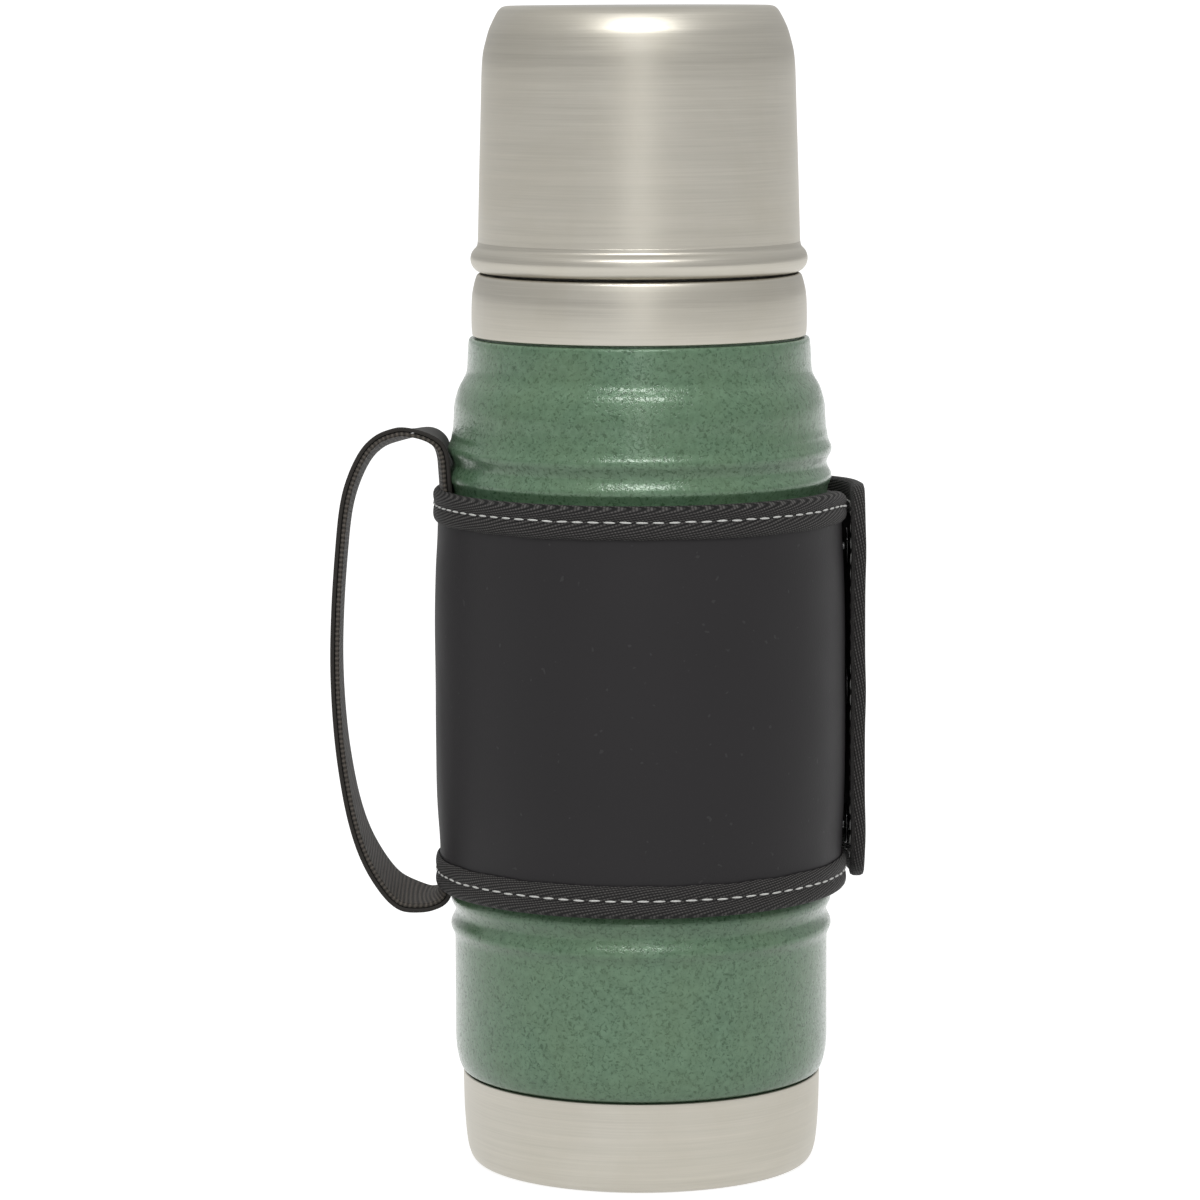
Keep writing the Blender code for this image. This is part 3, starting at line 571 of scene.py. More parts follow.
def make_cup():
    outside = [
        (35.3, 315.5), (36.6, 315.2), (37.6, 314.35), (38.5, 312.9), (39.45, 311.0), (40.3, 309.0),
        (41.1, 306.2), (41.75, 303.5), (42.1, 300.7), (42.3, 297.0), (42.5, 290.0), (43.0, 273.0),
        (43.5, 254.6), (43.62, 252.1), (43.95, 250.9), (44.7, 250.1), (45.3, 249.1), (45.6, 247.7),
        (45.35, 246.3), (44.7, 245.2), (43.9, 244.5), (43.3, 244.2),
    ]
    inside = [
        (42.7, 244.4), (42.75, 248.0), (42.9, 252.0), (42.3, 273.0), (41.8, 290.0), (41.6, 298.0),
        (41.1, 302.8), (40.4, 306.0), (39.6, 308.7), (38.4, 311.2), (37.3, 313.3), (35.8, 314.7),
    ]
    section = [(0.0, 314.8), (0.0, 315.5), (30.0, 315.5)] + curve(outside)
    section += curve(inside, 2) + [(30.0, 314.8)]
    bm = turned(section, bpy.context.scene.flask_shape.steps)
    place("cup_lid", bm, "brushed_steel", "cup", ["cup_shell"])
    insert = [
        (42.0, 265.5, 0.6), (42.0, 244.5, 0.3), (41.0, 244.5, 0.3), (41.0, 264.3, 0.4),
        (33.5, 264.3, 0.2), (33.5, 265.5, 0.3),
    ]
    bm = turned(insert, 96)
    thread_ridge(bm, 41.4, 40.4, 250.0)
    place("cup_thread_lining", bm, "thread_plastic", "cup", ["cup_thread_insert"])
    washer = [(39.0, 263.9, 0.3), (39.0, 262.4, 0.5), (34.0, 262.4, 0.5), (34.0, 263.9, 0.3)]
    place("cup_washer", turned(washer, 96), "silicone", "cup_seal", ["cup_seal"])


def make_collar():
    outside = [
        (43.0, 243.7), (43.6, 243.5), (44.0, 243.0), (44.35, 242.0), (44.7, 240.7), (45.15, 238.4),
        (45.35, 235.6), (45.42, 232.4), (45.4, 229.8), (45.3, 227.9), (45.15, 227.1), (44.8, 226.8),
    ]
    section = [(38.9, 243.7, 0.3)] + curve(outside)
    section += [(44.2, 227.0), (44.2, 240.4), (43.2, 242.6), (38.9, 242.6)]
    bm = turned(section, bpy.context.scene.flask_shape.steps)
    place("steel_collar", bm, "brushed_steel", "flask", ["neck_collar"])


def make_shell():
    shoulder = [
        (44.0, 226.4), (45.5, 226.35), (46.05, 226.0), (46.3, 225.0), (46.5, 222.0), (46.62, 219.2),
        (46.8, 217.4), (47.25, 216.0), (47.9, 214.8), (48.6, 213.6), (49.25, 212.1), (49.75, 210.4),
        (50.15, 208.8), (50.38, 206.8), (50.45, 204.6), (50.6, 202.3), (50.85, 200.9),
    ]
    foot = [
        (51.0, 60.0), (51.0, 40.0), (51.0, 35.4), (50.9, 32.8), (50.68, 30.8), (50.3, 28.9),
        (49.85, 27.3), (49.3, 26.1), (48.7, 25.6),
    ]
    skirt = [(47.3, 25.7), (47.0, 14.0), (47.0, 11.0), (46.3, 11.0), (46.3, 26.3), (48.4, 26.5)]
    inside = [
        (49.6, 29.2), (50.2, 32.5), (50.2, 199.5), (49.75, 201.4), (49.75, 206.8), (49.2, 209.6),
        (48.4, 212.2), (47.0, 214.9), (45.9, 217.6), (45.6, 224.2), (43.2, 225.2), (43.2, 240.1),
        (29.5, 240.1), (29.5, 265.8),
    ]
    section = [(30.2, 265.8), (30.2, 240.8), (43.3, 240.8), (43.7, 240.4), (43.7, 226.4)]
    section += curve(shoulder, 3)
    section += curve(ring_line(196.2, 188.7), 3) + [(51.0, 130.0)]
    section += curve(ring_line(73.4, 65.9), 3)
    section += curve(foot, 3) + skirt + inside
    bm = turned(section, bpy.context.scene.flask_shape.steps)
    place("enamel_shell", bm, "green_hammertone", "flask", ["outer_shell"])


def make_base():
    outside = [
        (48.4, 25.2), (48.8, 25.0), (48.95, 24.3), (48.88, 20.0), (48.75, 15.0), (48.55, 11.5),
        (48.3, 8.4), (48.0, 5.8), (47.6, 3.6), (46.9, 1.7), (45.9, 0.5), (44.4, 0.0),
    ]
    under = [
        (35.4, 0.0), (34.8, 0.3), (24.0, 0.35), (23.6, 0.15), (22.6, 0.15), (22.2, 0.35),
        (0.0, 0.35),
    ]
    inside = [
        (0.0, 0.9), (42.6, 0.9), (45.0, 2.2), (46.5, 4.6), (47.3, 8.0), (47.8, 13.0),
        (48.1, 25.0),
    ]
    section = curve(outside) + under + inside
    bm = turned(section, bpy.context.scene.flask_shape.steps)
    place("steel_base", bm, "brushed_steel", "flask", ["base_cup"])


def make_neck():
    ring = [(38.6, 262.0, 0.6), (38.6, 242.7, 0.2), (30.8, 242.7, 0.2), (30.8, 262.0, 0.6)]
    bm = turned(ring, 96)
    thread_ridge(bm, 38.2, 39.8, 248.0)
    place("neck_thread_ring", bm, "thread_plastic", "flask", ["neck_ring"])
    inside = [
        (0.0, 20.7), (40.2, 20.7, 3.0), (45.0, 25.8, 3.0), (45.0, 200.3, 4.0), (42.7, 207.7, 3.0),
        (37.8, 212.6, 3.0), (30.8, 216.6, 2.0), (26.0, 220.9, 2.0), (26.0, 267.2, 0.5),
    ]
    outside = [
        (30.2, 267.2, 0.4), (30.2, 266.2, 0.3), (26.6, 266.2), (26.6, 221.3), (31.1, 217.2),
        (38.2, 213.2), (43.2, 208.2), (45.6, 200.5), (45.6, 25.6), (40.5, 20.1), (0.0, 20.1),
    ]
    bm = turned(inside + outside, 96)
    thread_ridge(bm, 26.3, 24.9, 247.0)
    place("steel_liner", bm, "bare_steel", "flask", ["inner_vessel"])


def make_stopper():
    body = [
        (31.0, 272.3, 0.4), (31.0, 269.6, 0.5), (23.4, 269.6, 0.4), (23.4, 236.0, 1.0),
        (8.0, 236.0, 0.3), (8.0, 238.0), (9.5, 238.0), (9.5, 272.3), (11.0, 272.3), (11.0, 238.4),
        (21.6, 238.4), (21.6, 272.3),
    ]
    bm = turned(body, 96)
    thread_ridge(bm, 23.0, 24.4, 249.0)
    place("stopper_plug", bm, "black_plastic", "stopper", ["stopper_body"])
    make_stopper_cap()
    washer = [(30.5, 269.2, 0.3), (30.5, 267.6, 0.4), (26.5, 267.6, 0.4), (26.5, 269.2, 0.3)]
    place("stopper_washer", turned(washer, 96), "silicone", "stopper_seal", ["stopper_seal"])
    head = [
        (0.0, 286.5), (6.0, 286.6), (9.6, 287.0, 0.5), (11.2, 286.9, 0.6), (12.0, 285.6, 0.5),
        (12.0, 281.8), (13.1, 281.8, 0.2), (13.1, 276.0), (0.0, 276.0),
    ]
    place("press_button", turned(head, 96), "black_plastic", "pour_button", ["pour_button"])


def make_stopper_cap():
    """The grip ring, with grooves for the fingers and an outlet at the front."""
    section = [
        (29.3, 284.0, 0.9), (31.0, 282.3, 0.6), (31.0, 276.0), (31.0, 272.6, 0.3), (29.0, 272.6),
        (29.0, 281.6), (28.0, 282.2), (12.4, 282.2), (12.4, 284.0, 0.4),
    ]
    bm = turned(section, 288)
    spacing, width, depth = 30.0, 3.2, 0.75
    for vert in bm.verts:
        turn = math.degrees(math.atan2(vert.co.y, vert.co.x)) % spacing
        if math.hypot(vert.co.x, vert.co.y) > 29.2 * MM:
            push_out(vert, -math.exp(-((turn - spacing / 2.0) / width) ** 2) * depth * MM)
    piece = place("stopper_grip", bm, "black_plastic", "stopper", ["stopper_cap"])
    cutter = bmesh.new()
    bmesh.ops.create_cube(cutter, size=1.0)
    bmesh.ops.scale(cutter, vec=(14.0 * MM, 12.0 * MM, 7.0 * MM), verts=cutter.verts)
    bmesh.ops.translate(cutter, vec=(0.0, -30.0 * MM, 274.5 * MM), verts=cutter.verts)
    mesh = bpy.data.meshes.new("outlet")
    cutter.to_mesh(mesh)
    cutter.free()
    tool = bpy.data.objects.new("outlet", mesh)
    bpy.context.scene.collection.objects.link(tool)
    cut = piece.modifiers.new("outlet", "BOOLEAN")
    cut.operation = "DIFFERENCE"
    cut.object = tool
    cut.solver = "EXACT"
    depsgraph = bpy.context.evaluated_depsgraph_get()
    done = bpy.data.meshes.new_from_object(piece.evaluated_get(depsgraph))
    piece.modifiers.clear()
    piece.data = done
    bpy.data.objects.remove(tool, do_unlink=True)


# ---------------------------------------------------------------- sleeve

def panel_wander(co):
    """How far the wrapped sleeve stands off its true round, in metres."""
    slack = bpy.context.scene.flask_shape.slack
    turn = azimuth_of(co)
    return slack * (noise.noise(Vector((turn * 0.035, co.z * 22.0, 3.1)))
                    + 0.5 * noise.noise(Vector((turn * 0.09, co.z * 60.0, 8.4))))


def corner_drop(co):
    """How far the sleeve's top edge falls where its end is rounded off, in metres."""
    turn = math.degrees(math.atan2(co.y, co.x))
    depth = SLEEVE_HIGH - co.z / MM
    if depth > SLEEVE_CORNER_DEPTH or not SLEEVE_CORNER_END < turn < 40.0:
        return 0.0
    flat = 0.9455  # the cosine at the corner's end
    share = 1.0 if turn > 0.0 else (math.cos(math.radians(turn)) - flat) / (1.0 - flat)
    fall = SLEEVE_CORNER_FALL * MM * (1.0 - math.sqrt(1.0 - share * share))
    return fall * (1.0 - max(depth, 0.0) / SLEEVE_CORNER_DEPTH)


def push_out(vert, distance):
    """Moves the vertex away from the flask's axis."""
    radius = math.hypot(vert.co.x, vert.co.y)
    vert.co.x *= (radius + distance) / radius
    vert.co.y *= (radius + distance) / radius


def make_panel():
    """The sleeve's outer cloth and its lining."""
    outside = [
        (55.0, PANEL_HIGH), (55.0, 178.0), (55.15, 172.0), (55.6, 164.0), (55.9, 154.0),
        (56.0, 142.0),
        (56.0, 120.0), (55.9, 108.0), (55.6, 98.0), (55.15, 90.0), (55.0, 84.0),
        (55.0, PANEL_LOW),
    ]
    route = curve(outside, 4)
    section = route + [(radius - 0.9, z) for radius, z in route[::-1]]
    bm = wrapped(section, 220)
    for vert in bm.verts:
        vert.co.z -= corner_drop(vert.co)
        if math.hypot(vert.co.x, vert.co.y) > 54.6 * MM:
            push_out(vert, panel_wander(vert.co))
    panel = place("sleeve_wrap", bm, "leatherette", "flask", ["sleeve_panel"])
    inner = [(53.8, 175.8, 0.2), (53.8, 86.2, 0.2), (53.2, 86.2, 0.2), (53.2, 175.8, 0.2)]
    bm = wrapped(inner, 110, LINING_SWEEP)
    lining = place("sleeve_inner_cloth", bm, "lining", "flask", ["sleeve_lining"])
    return panel, lining


def tape_section(edge, step):
    """The folded tape's section; step is -1 where it hangs down and 1 where it stands up."""
    outer = [
        (55.55, 8.9), (56.05, 8.3), (56.28, 7.0), (56.18, 5.6), (55.85, 4.2), (56.15, 3.1),
        (56.28, 2.0), (56.05, 0.9), (55.3, 0.2), (54.4, 0.0), (53.4, 0.15), (52.75, 0.7),
        (52.5, 1.6), (52.5, 8.0),
    ]
    inner = [
        (53.1, 8.0), (53.2, 2.0), (53.7, 1.0), (54.4, 0.75), (55.0, 1.0), (55.2, 2.0), (55.2, 8.8),
    ]
    line = curve(outer, 2) + curve(inner, 2)
    return [(radius, edge + step * fall) for radius, fall in line]


def make_tape(name, node, edge, step, seed):
    """One folded tape, wandering a little along its edge and drawn in at each stitch."""
    pitch = bpy.context.scene.flask_shape.stitch_pitch
    section = tape_section(edge, step)
    bm = wrapped(section, 430)
    store_weave(bm, lambda co: Vector((
        math.radians(azimuth_of(co)) * TAPE_R * MM, co.z - step * math.hypot(co.x, co.y), 0.0)))
    for vert in bm.verts:
        radius = math.hypot(vert.co.x, vert.co.y) / MM
        turn = azimuth_of(vert.co)
        depth = abs(vert.co.z / MM - edge)
        if radius > 54.9:
            run = math.radians(turn) * TAPE_R * MM
            pinch = math.exp(-((depth - 4.2) / 1.5) ** 2) * 0.10 * MM
            pinch *= 0.5 + 0.5 * math.cos(math.tau * run / pitch)
            push_out(vert, panel_wander(vert.co) - pinch)
            vert.co.z += step * drift(turn, 0.11, seed) * 0.3 * MM * min(depth / 8.0, 1.0)
        elif radius < 53.9 and abs((turn + SEAM_AZ) % 360.0 - 180.0) < 17.0:
            push_out(vert, (54.2 - radius) * MM)
        vert.co.z -= corner_drop(vert.co)
    return place(name, bm, "binding_tape", "flask", [node])


def make_stitches(name, height, seed):
    """A row of lockstitch round the sleeve."""
    shape = bpy.context.scene.flask_shape
    rng = random.Random(seed)
    bm = bmesh.new()
    count = int(math.radians(SLEEVE_SWEEP - 3.0) * TAPE_R * MM / shape.stitch_pitch)
    for index in range(count):
        turn = 1.5 + (SLEEVE_SWEEP - 3.0) * (index + 0.5) / count
        angle = math.radians(SEAM_AZ + turn)
        out = Vector((math.cos(angle), math.sin(angle), 0.0))
        tilt = rng.uniform(-0.05, 0.05)
        along = Vector((-out.y, out.x, tilt))
        spot = out * 56.02 * MM
        spot.z = height * MM + rng.uniform(-0.08, 0.08) * MM
        spot.z -= corner_drop(spot)
        spot += out * panel_wander(spot)
        stitch(bm, spot, along, out, shape.stitch_length * rng.uniform(0.92, 1.06), 0.29)
    return place(name, bm, "stitch_thread", "flask", crease=80.0)


def make_end_tape():
    """The upright tape on the sleeve's hidden end, under the flap."""
    section = [
        (56.9, 0.0), (57.0, 1.2), (56.85, 4.0), (57.0, 7.0), (56.8, 8.4), (56.3, 8.6), (53.2, 8.6),
        (52.5, 8.2), (52.5, 0.0), (53.1, 0.0), (53.2, 7.9), (56.1, 7.9), (56.2, 0.0),
    ]
    low, high = SLEEVE_LOW + 9.8, SLEEVE_HIGH - 9.8
    steps = 44
    stations = [Matrix.Translation((0.0, 0.0, (low + (high - low) * index / steps) * MM))
                for index in range(steps + 1)]
    bm = bmesh.new()
    layer = bm.verts.layers.float_vector.new("weave")
    verts = []
    for radius, turn in section:
        angle = math.radians(END_TAPE_AZ + turn)
        vert = bm.verts.new(Vector((radius * math.cos(angle), radius * math.sin(angle), low)) * MM)
        vert[layer] = Vector((0.0, turn * MM + radius * MM, 0.0))
        verts.append(vert)
    carry(bm, layer, bm.faces.new(verts), stations, low * MM)
    return place("sleeve_end_tape", bm, "binding_tape", "flask", ["end_binding"])


# ---------------------------------------------------------------- flap and snaps

class FlapLine:
    """The flap's line in plan, by distance from the seam, in metres."""

    def __init__(self):
        self.spots = [spot * MM for spot in smooth_route(FLAP_ROUTE, 8)]
        self.runs = [0.0]
        for first, second in zip(self.spots, self.spots[1:]):
            self.runs.append(self.runs[-1] + (second - first).length)
        self.length = self.runs[-1]

    def at(self, run):
        """The place and the direction at a distance."""
        run = min(max(run, 0.0), self.length - 1e-7)
        index = next(i for i, value in enumerate(self.runs) if value > run)
        span = self.runs[index] - self.runs[index - 1]
        share = (run - self.runs[index - 1]) / span
        here, there = self.spots[index - 1], self.spots[index]
        before = self.spots[max(index - 2, 0)]
        after = self.spots[min(index + 1, len(self.spots) - 1)]
        along = (there - before).lerp(after - here, share)
        return here.lerp(there, share), along.normalized()

    def spot(self, run, z):
        place_at, along = self.at(run)
        return Vector((place_at.x, place_at.y, z)), Vector((along.x, along.y, 0.0))


def quarter(run, z, radius, start, steps=8):
    """A quarter turn about a place on the flap, without its last point."""
    turns = [math.radians(start + 90.0 * index / steps) for index in range(steps)]
    return [(run + radius * math.cos(turn), z + radius * math.sin(turn)) for turn in turns]


def flap_border(line, inset, corner, start):
    """Places along the flap's three free edges: bottom, end and top."""
    low, high = FLAP_PANEL_LOW * MM + inset, FLAP_PANEL_HIGH * MM - inset
    end = line.length - inset
    bend = end - corner
    runs, rises = 26, 60
    path = [(start + (bend - start) * index / runs, low) for index in range(runs)]
    path += quarter(bend, low + corner, corner, -90.0)
    path += [(end, low + corner + (high - low - 2.0 * corner) * index / rises)
             for index in range(rises)]
    path += quarter(bend, high - corner, corner, 0.0)
    return path + [(bend - (bend - start) * index / runs, high) for index in range(runs + 1)]


def border_stations(line, path):
    """Frames along a path on the flap: X along it, Y towards the flap's middle, Z outwards."""
    stations = []
    for index, (run, z) in enumerate(path):
        ahead = path[min(index + 1, len(path) - 1)]
        behind = path[max(index - 1, 0)]
        spot, level = line.spot(run, z)
        along = level * (ahead[0] - behind[0]) + Vector((0.0, 0.0, ahead[1] - behind[1]))
        normal = Vector((-level.y, level.x, 0.0))
        if normal.dot(Vector((spot.x, spot.y, 0.0))) < 0.0:
            normal = -normal
        stations.append(station(spot, along, normal))
    return stations


def rounded(run, z, end, low, high, corner=12.3 * MM):
    """A place on the flap's rectangle, drawn in where the rectangle's far corners are rounded."""
    middle, half = (low + high) / 2.0, (high - low) / 2.0 - corner
    across = (run - end + corner) / corner
    up = (abs(z - middle) - half) / corner
    if across <= 0.0 or up <= 0.0:
        return run, z
    run = end - corner + corner * across * math.sqrt(1.0 - up * up / 2.0)
    rise = half + corner * up * math.sqrt(1.0 - across * across / 2.0)
    return run, middle + math.copysign(rise, z - middle)


def make_flap_panel(line):
    """The flap's cloth, grown from the seam to its free end and given its thickness."""
    bm = bmesh.new()
    rows, columns = 40, 48
    low, high = FLAP_PANEL_LOW * MM, FLAP_PANEL_HIGH * MM
    verts = [bm.verts.new(line.spot(0.0, low + (high - low) * row / rows)[0])
             for row in range(rows + 1)]
    edges = [bm.edges.new(pair) for pair in zip(verts, verts[1:])]
    inner = line.length - 0.6 * MM
    runs = bm.verts.layers.float.new("run")
    for index in range(1, columns + 1):
        grown = bmesh.ops.extrude_edge_only(bm, edges=edges)["geom"]
        edges = [item for item in grown if isinstance(item, bmesh.types.BMEdge)]
        for item in grown:
            if isinstance(item, bmesh.types.BMVert):
                item[runs] = inner * index / columns
    for vert in bm.verts:
        vert.co = line.spot(*rounded(vert[runs], vert.co.z, inner, low, high))[0]
        push_out(vert, 0.3 * MM * drift(vert.co.z * 1000.0, 0.045, 5.0))
    bmesh.ops.recalc_face_normals(bm, faces=bm.faces)
    bmesh.ops.solidify(bm, geom=bm.faces[:], thickness=1.2 * MM)
    tidy_normals(bm)
    panel = place("flap_leather", bm, "leatherette", None, ["flap_panel"])
    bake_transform(panel)
    return panel


def make_flap_tape(line):
    """The tape folded over the flap's free edges, standing off a little round the snaps."""
    section = [
        (-0.9, -1.9), (0.0, -2.15), (2.4, -2.0), (4.0, -1.75), (6.2, -2.0), (7.6, -1.75),
        (7.6, -1.2), (4.0, -0.95), (0.6, -0.95), (0.1, 0.0), (0.6, 0.95), (4.0, 0.95), (7.6, 1.2),
        (7.6, 1.75), (6.2, 2.0), (4.0, 1.75), (2.4, 2.0), (0.0, 2.15), (-0.9, 1.9), (-1.35, 1.0),
        (-1.4, 0.0), (-1.35, -1.0),
    ]
    path = flap_border(line, 0.2 * MM, FLAP_TAPE_CORNER * MM, FLAP_TAPE_START * MM)
    thin = 0.95
    bm = swept([(-inward, thin * out) for inward, out in section], border_stations(line, path))
    for vert in bm.verts:
        bulge = sum(math.exp(-((vert.co.z / MM - height) / 7.0) ** 2) for height in SNAP_HEIGHTS)
        if vert.co.y < -1.0 * MM:
            vert.co.x += 0.25 * MM * bulge
    return place("flap_tape", bm, "binding_tape", "flap", ["flap_binding"])


def make_flap_stitches(line):
    """Lockstitch round the flap's tape, seen on both faces."""
    shape = bpy.context.scene.flask_shape
    rng = random.Random(11)
    path = flap_border(line, FLAP_STITCH_INSET * MM, 8.5 * MM, FLAP_TAPE_START * MM)
    stations = border_stations(line, path)
    lengths = [0.0]
    for first, second in zip(stations, stations[1:]):
        lengths.append(lengths[-1] + (second.translation - first.translation).length)
    bm = bmesh.new()
    count = int(lengths[-1] / shape.stitch_pitch)
    for index in range(count):
        run = lengths[-1] * (index + 0.5) / count
        near = next(i for i, value in enumerate(lengths) if value >= run)
        share = (run - lengths[near - 1]) / (lengths[near] - lengths[near - 1])
        spot = stations[near - 1].translation.lerp(stations[near].translation, share)
        along = stations[near].col[0].to_3d()
        out = stations[near].col[2].to_3d()
        length = shape.stitch_length * rng.uniform(0.92, 1.06)
        for side in (-1.0, 1.0):
            stitch(bm, spot + out * side * 1.76 * MM, along, out * side, length, 0.27)
    return place("flap_stitches", bm, "stitch_thread", "flap", crease=80.0)


def snap_turned(points, height):
    """A solid of revolution about a snap's axis, given by radius and distance out."""
    bm = turned(points, 48)
    bmesh.ops.rotate(bm, matrix=Matrix.Rotation(math.radians(90.0), 3, "Y"), verts=bm.verts)
    bmesh.ops.translate(bm, vec=Vector((0.0, SNAP_Y, height)) * MM, verts=bm.verts)
    bmesh.ops.recalc_face_normals(bm, faces=bm.faces)
    return bm


def make_snaps():
    cap = [
        (0.0, 62.0), (2.6, 61.9, 0.6), (4.6, 61.5, 0.6), (5.5, 61.0, 0.3), (5.7, 60.75, 0.1),
        (5.2, 60.7), (1.7, 60.7), (1.7, 58.9), (0.0, 58.9),
    ]
    socket = [(5.7, 58.5, 0.3), (5.7, 57.5, 0.4), (2.9, 57.5, 0.3), (2.9, 58.5)]
    stud = [
        (0.0, 58.4), (1.6, 58.4, 0.3), (2.0, 58.0, 0.2), (1.7, 57.0), (5.5, 57.0, 0.3),
        (5.5, 56.4, 0.2), (0.0, 56.4),
    ]
    post = [(0.0, 56.0), (1.2, 56.0), (1.2, 52.6), (3.2, 52.6, 0.2), (3.2, 52.0, 0.2), (0.0, 52.0)]
    for number, height in enumerate(SNAP_HEIGHTS, 1):
        for kind, points, body in (("cap", cap, "flap"), ("socket", socket, "flap"),
                                   ("stud", stud, "flask"), ("post", post, "flask")):
            place(f"press_stud_{kind}_{number}", snap_turned(points, height), "snap_black", body,
                  [f"snap_{kind}_{number}"])


# ---------------------------------------------------------------- strap

def strap_section(low, high, cuts=10):
    """A flat band's section with thinned edges, by place across and offset from the route."""
    half, middle, thick = STRAP_HALF - 0.1, (low + high) / 2.0, (high - low) / 2.0
    section = []
    for side in (-1.0, 1.0):
        edge, face, rim = side * half, side * thick + middle, side * thick * 0.45 + middle
        section += [(-edge, rim), (-edge * 0.988, face)]
        section += [(-edge * (1.0 - 2.0 * index / cuts), face) for index in range(1, cuts)]
        section += [(edge * 0.988, face), (edge, rim)]
    return section


def settle_strap(bm):
    """Bends the strap's ends round the shell, and lets its free bow lean and sway."""
    for vert in bm.verts:
        held = min(max((vert.co.x / MM + 66.0) / 10.0, 0.0), 1.0)
        held = held * held * (3.0 - 2.0 * held)
        y = vert.co.y / MM
        vert.co.x += (STRAP_REST_R - math.sqrt(STRAP_REST_R ** 2 - y * y)) * MM * held
        lift = min(max((vert.co.z / MM - STRAP_MIDDLE) / 50.0, -1.0), 1.0)
        vert.co.z -= STRAP_LEAN * lift * (1.0 - held) * vert.co.y
        vert.co.y += drift(vert.co.z * 1000.0, 0.02, 2.0) * 0.5 * MM * (1.0 - held)


def strap_layer(name, low, high, finish, nodes):
    """One layer of the strap between two offsets from its route, towards the hand's side."""
    route = [Vector((x, 0.0, z)) * MM for x, z in smooth_route(STRAP_ROUTE, 8)]
    stations = []
    for index, spot in enumerate(route):
        ahead, behind = route[min(index + 1, len(route) - 1)], route[max(index - 1, 0)]
        along = (ahead - behind).normalized()
        stations.append(station(spot, along, along.cross(Vector((0.0, 1.0, 0.0)))))
    bm = swept(strap_section(low, high), stations)
    settle_strap(bm)
    piece = place(name, bm, finish, None, nodes, 50.0)
    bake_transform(piece)
    return piece


# ---------------------------------------------------------------- operators

class FlaskStep(bpy.types.Operator):
    """A step that can be undone"""
    bl_options = {"REGISTER", "UNDO"}


class AddFinishes(FlaskStep):
    """Make every finish that the flask uses"""
    bl_idname = "flask.add_finishes"
    bl_label = "Finishes"

    def execute(self, context):
        make_finishes()
        return {"FINISHED"}


class AddCup(FlaskStep):
    """Add the cup lid with its thread lining and washer"""
    bl_idname = "flask.add_cup"
    bl_label = "Cup Lid"

    def execute(self, context):
        make_cup()
        return {"FINISHED"}


class AddBody(FlaskStep):
    """Add the collar, the enamelled shell and the steel base"""
    bl_idname = "flask.add_body"
    bl_label = "Body"

    def execute(self, context):
        make_collar()
        make_shell()
        make_base()
        return {"FINISHED"}


class AddNeck(FlaskStep):
    """Add the neck's thread ring and the steel liner"""
    bl_idname = "flask.add_neck"
    bl_label = "Neck and Liner"

    def execute(self, context):
        make_neck()
        return {"FINISHED"}


class AddStopper(FlaskStep):
    """Add the stopper, its grip, washer and press button"""
    bl_idname = "flask.add_stopper"
    bl_label = "Stopper"

    def execute(self, context):
        make_stopper()
        return {"FINISHED"}


class AddSleeve(FlaskStep):
    """Add the wrapped sleeve with its lining, bindings and stitches"""
    bl_idname = "flask.add_sleeve"
    bl_label = "Sleeve"

    def execute(self, context):
        panel, lining = make_panel()
        pieces = [
            make_tape("sleeve_top_tape", "top_binding", SLEEVE_HIGH, -1.0, 1.0),
            make_tape("sleeve_bottom_tape", "bottom_binding", SLEEVE_LOW, 1.0, 7.0),
            make_stitches("top_stitches", SLEEVE_HIGH - 4.2, 3),
            make_stitches("bottom_stitches", SLEEVE_LOW + 4.9, 5),
            make_end_tape(),
        ]
        return {"FINISHED"}


class AddFlap(FlaskStep):
    """Add the closing flap with its tape and stitches"""
    bl_idname = "flask.add_flap"
    bl_label = "Flap"

    def execute(self, context):
        line = FlapLine()
        panel = make_flap_panel(line)
        pieces = [make_flap_tape(line), make_flap_stitches(line)]
        return {"FINISHED"}


class AddSnaps(FlaskStep):
    """Add the three press studs"""
    bl_idname = "flask.add_snaps"
    bl_label = "Press Studs"

    def execute(self, context):
        make_snaps()
        return {"FINISHED"}


class AddStrap(FlaskStep):
    """Add the two-layer strap handle"""
    bl_idname = "flask.add_strap"
    bl_label = "Strap Handle"

    def execute(self, context):
        strap_layer("strap_facing", -1.22, -0.12, "strap_facing",
                    ["strap_leather", "strap_tab_top"])
        strap_layer("strap_ribbed_webbing", 0.12, 1.22, "webbing",
                    ["strap_webbing", "strap_tab_bottom"])
        return {"FINISHED"}


class FinishInside(FlaskStep):
    """Give the parts inside the flask their finishes"""
    bl_idname = "flask.finish_inside"
    bl_label = "Inside Parts"

    def execute(self, context):
        inside = {
            "base_plate": "bare_steel", "getter_capsule": "bare_steel", "valve_stem": "bare_steel",
            "button_spring": "bare_steel", "evacuation_seal": "seal_glass",
            "radiation_foil": "copper_foil", "stopper_foam": "foam",
            "valve_guide": "thread_plastic", "valve_disc": "black_plastic",
            "valve_seal": "silicone",
        }
        for node, finish in inside.items():
            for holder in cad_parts[node].material_slots:
                holder.material = bpy.data.materials["flask_" + finish]
        return {"FINISHED"}


class AddStage(FlaskStep):
    """Add the floor, the lights and the camera"""
    bl_idname = "flask.add_stage"
    bl_label = "Stage"

    def execute(self, context):
        look = context.scene.flask_stage
        make_floor(look)
        make_lights(look)
        make_camera(look)
        context.scene.view_settings.view_transform = "Standard"
        return {"FINISHED"}


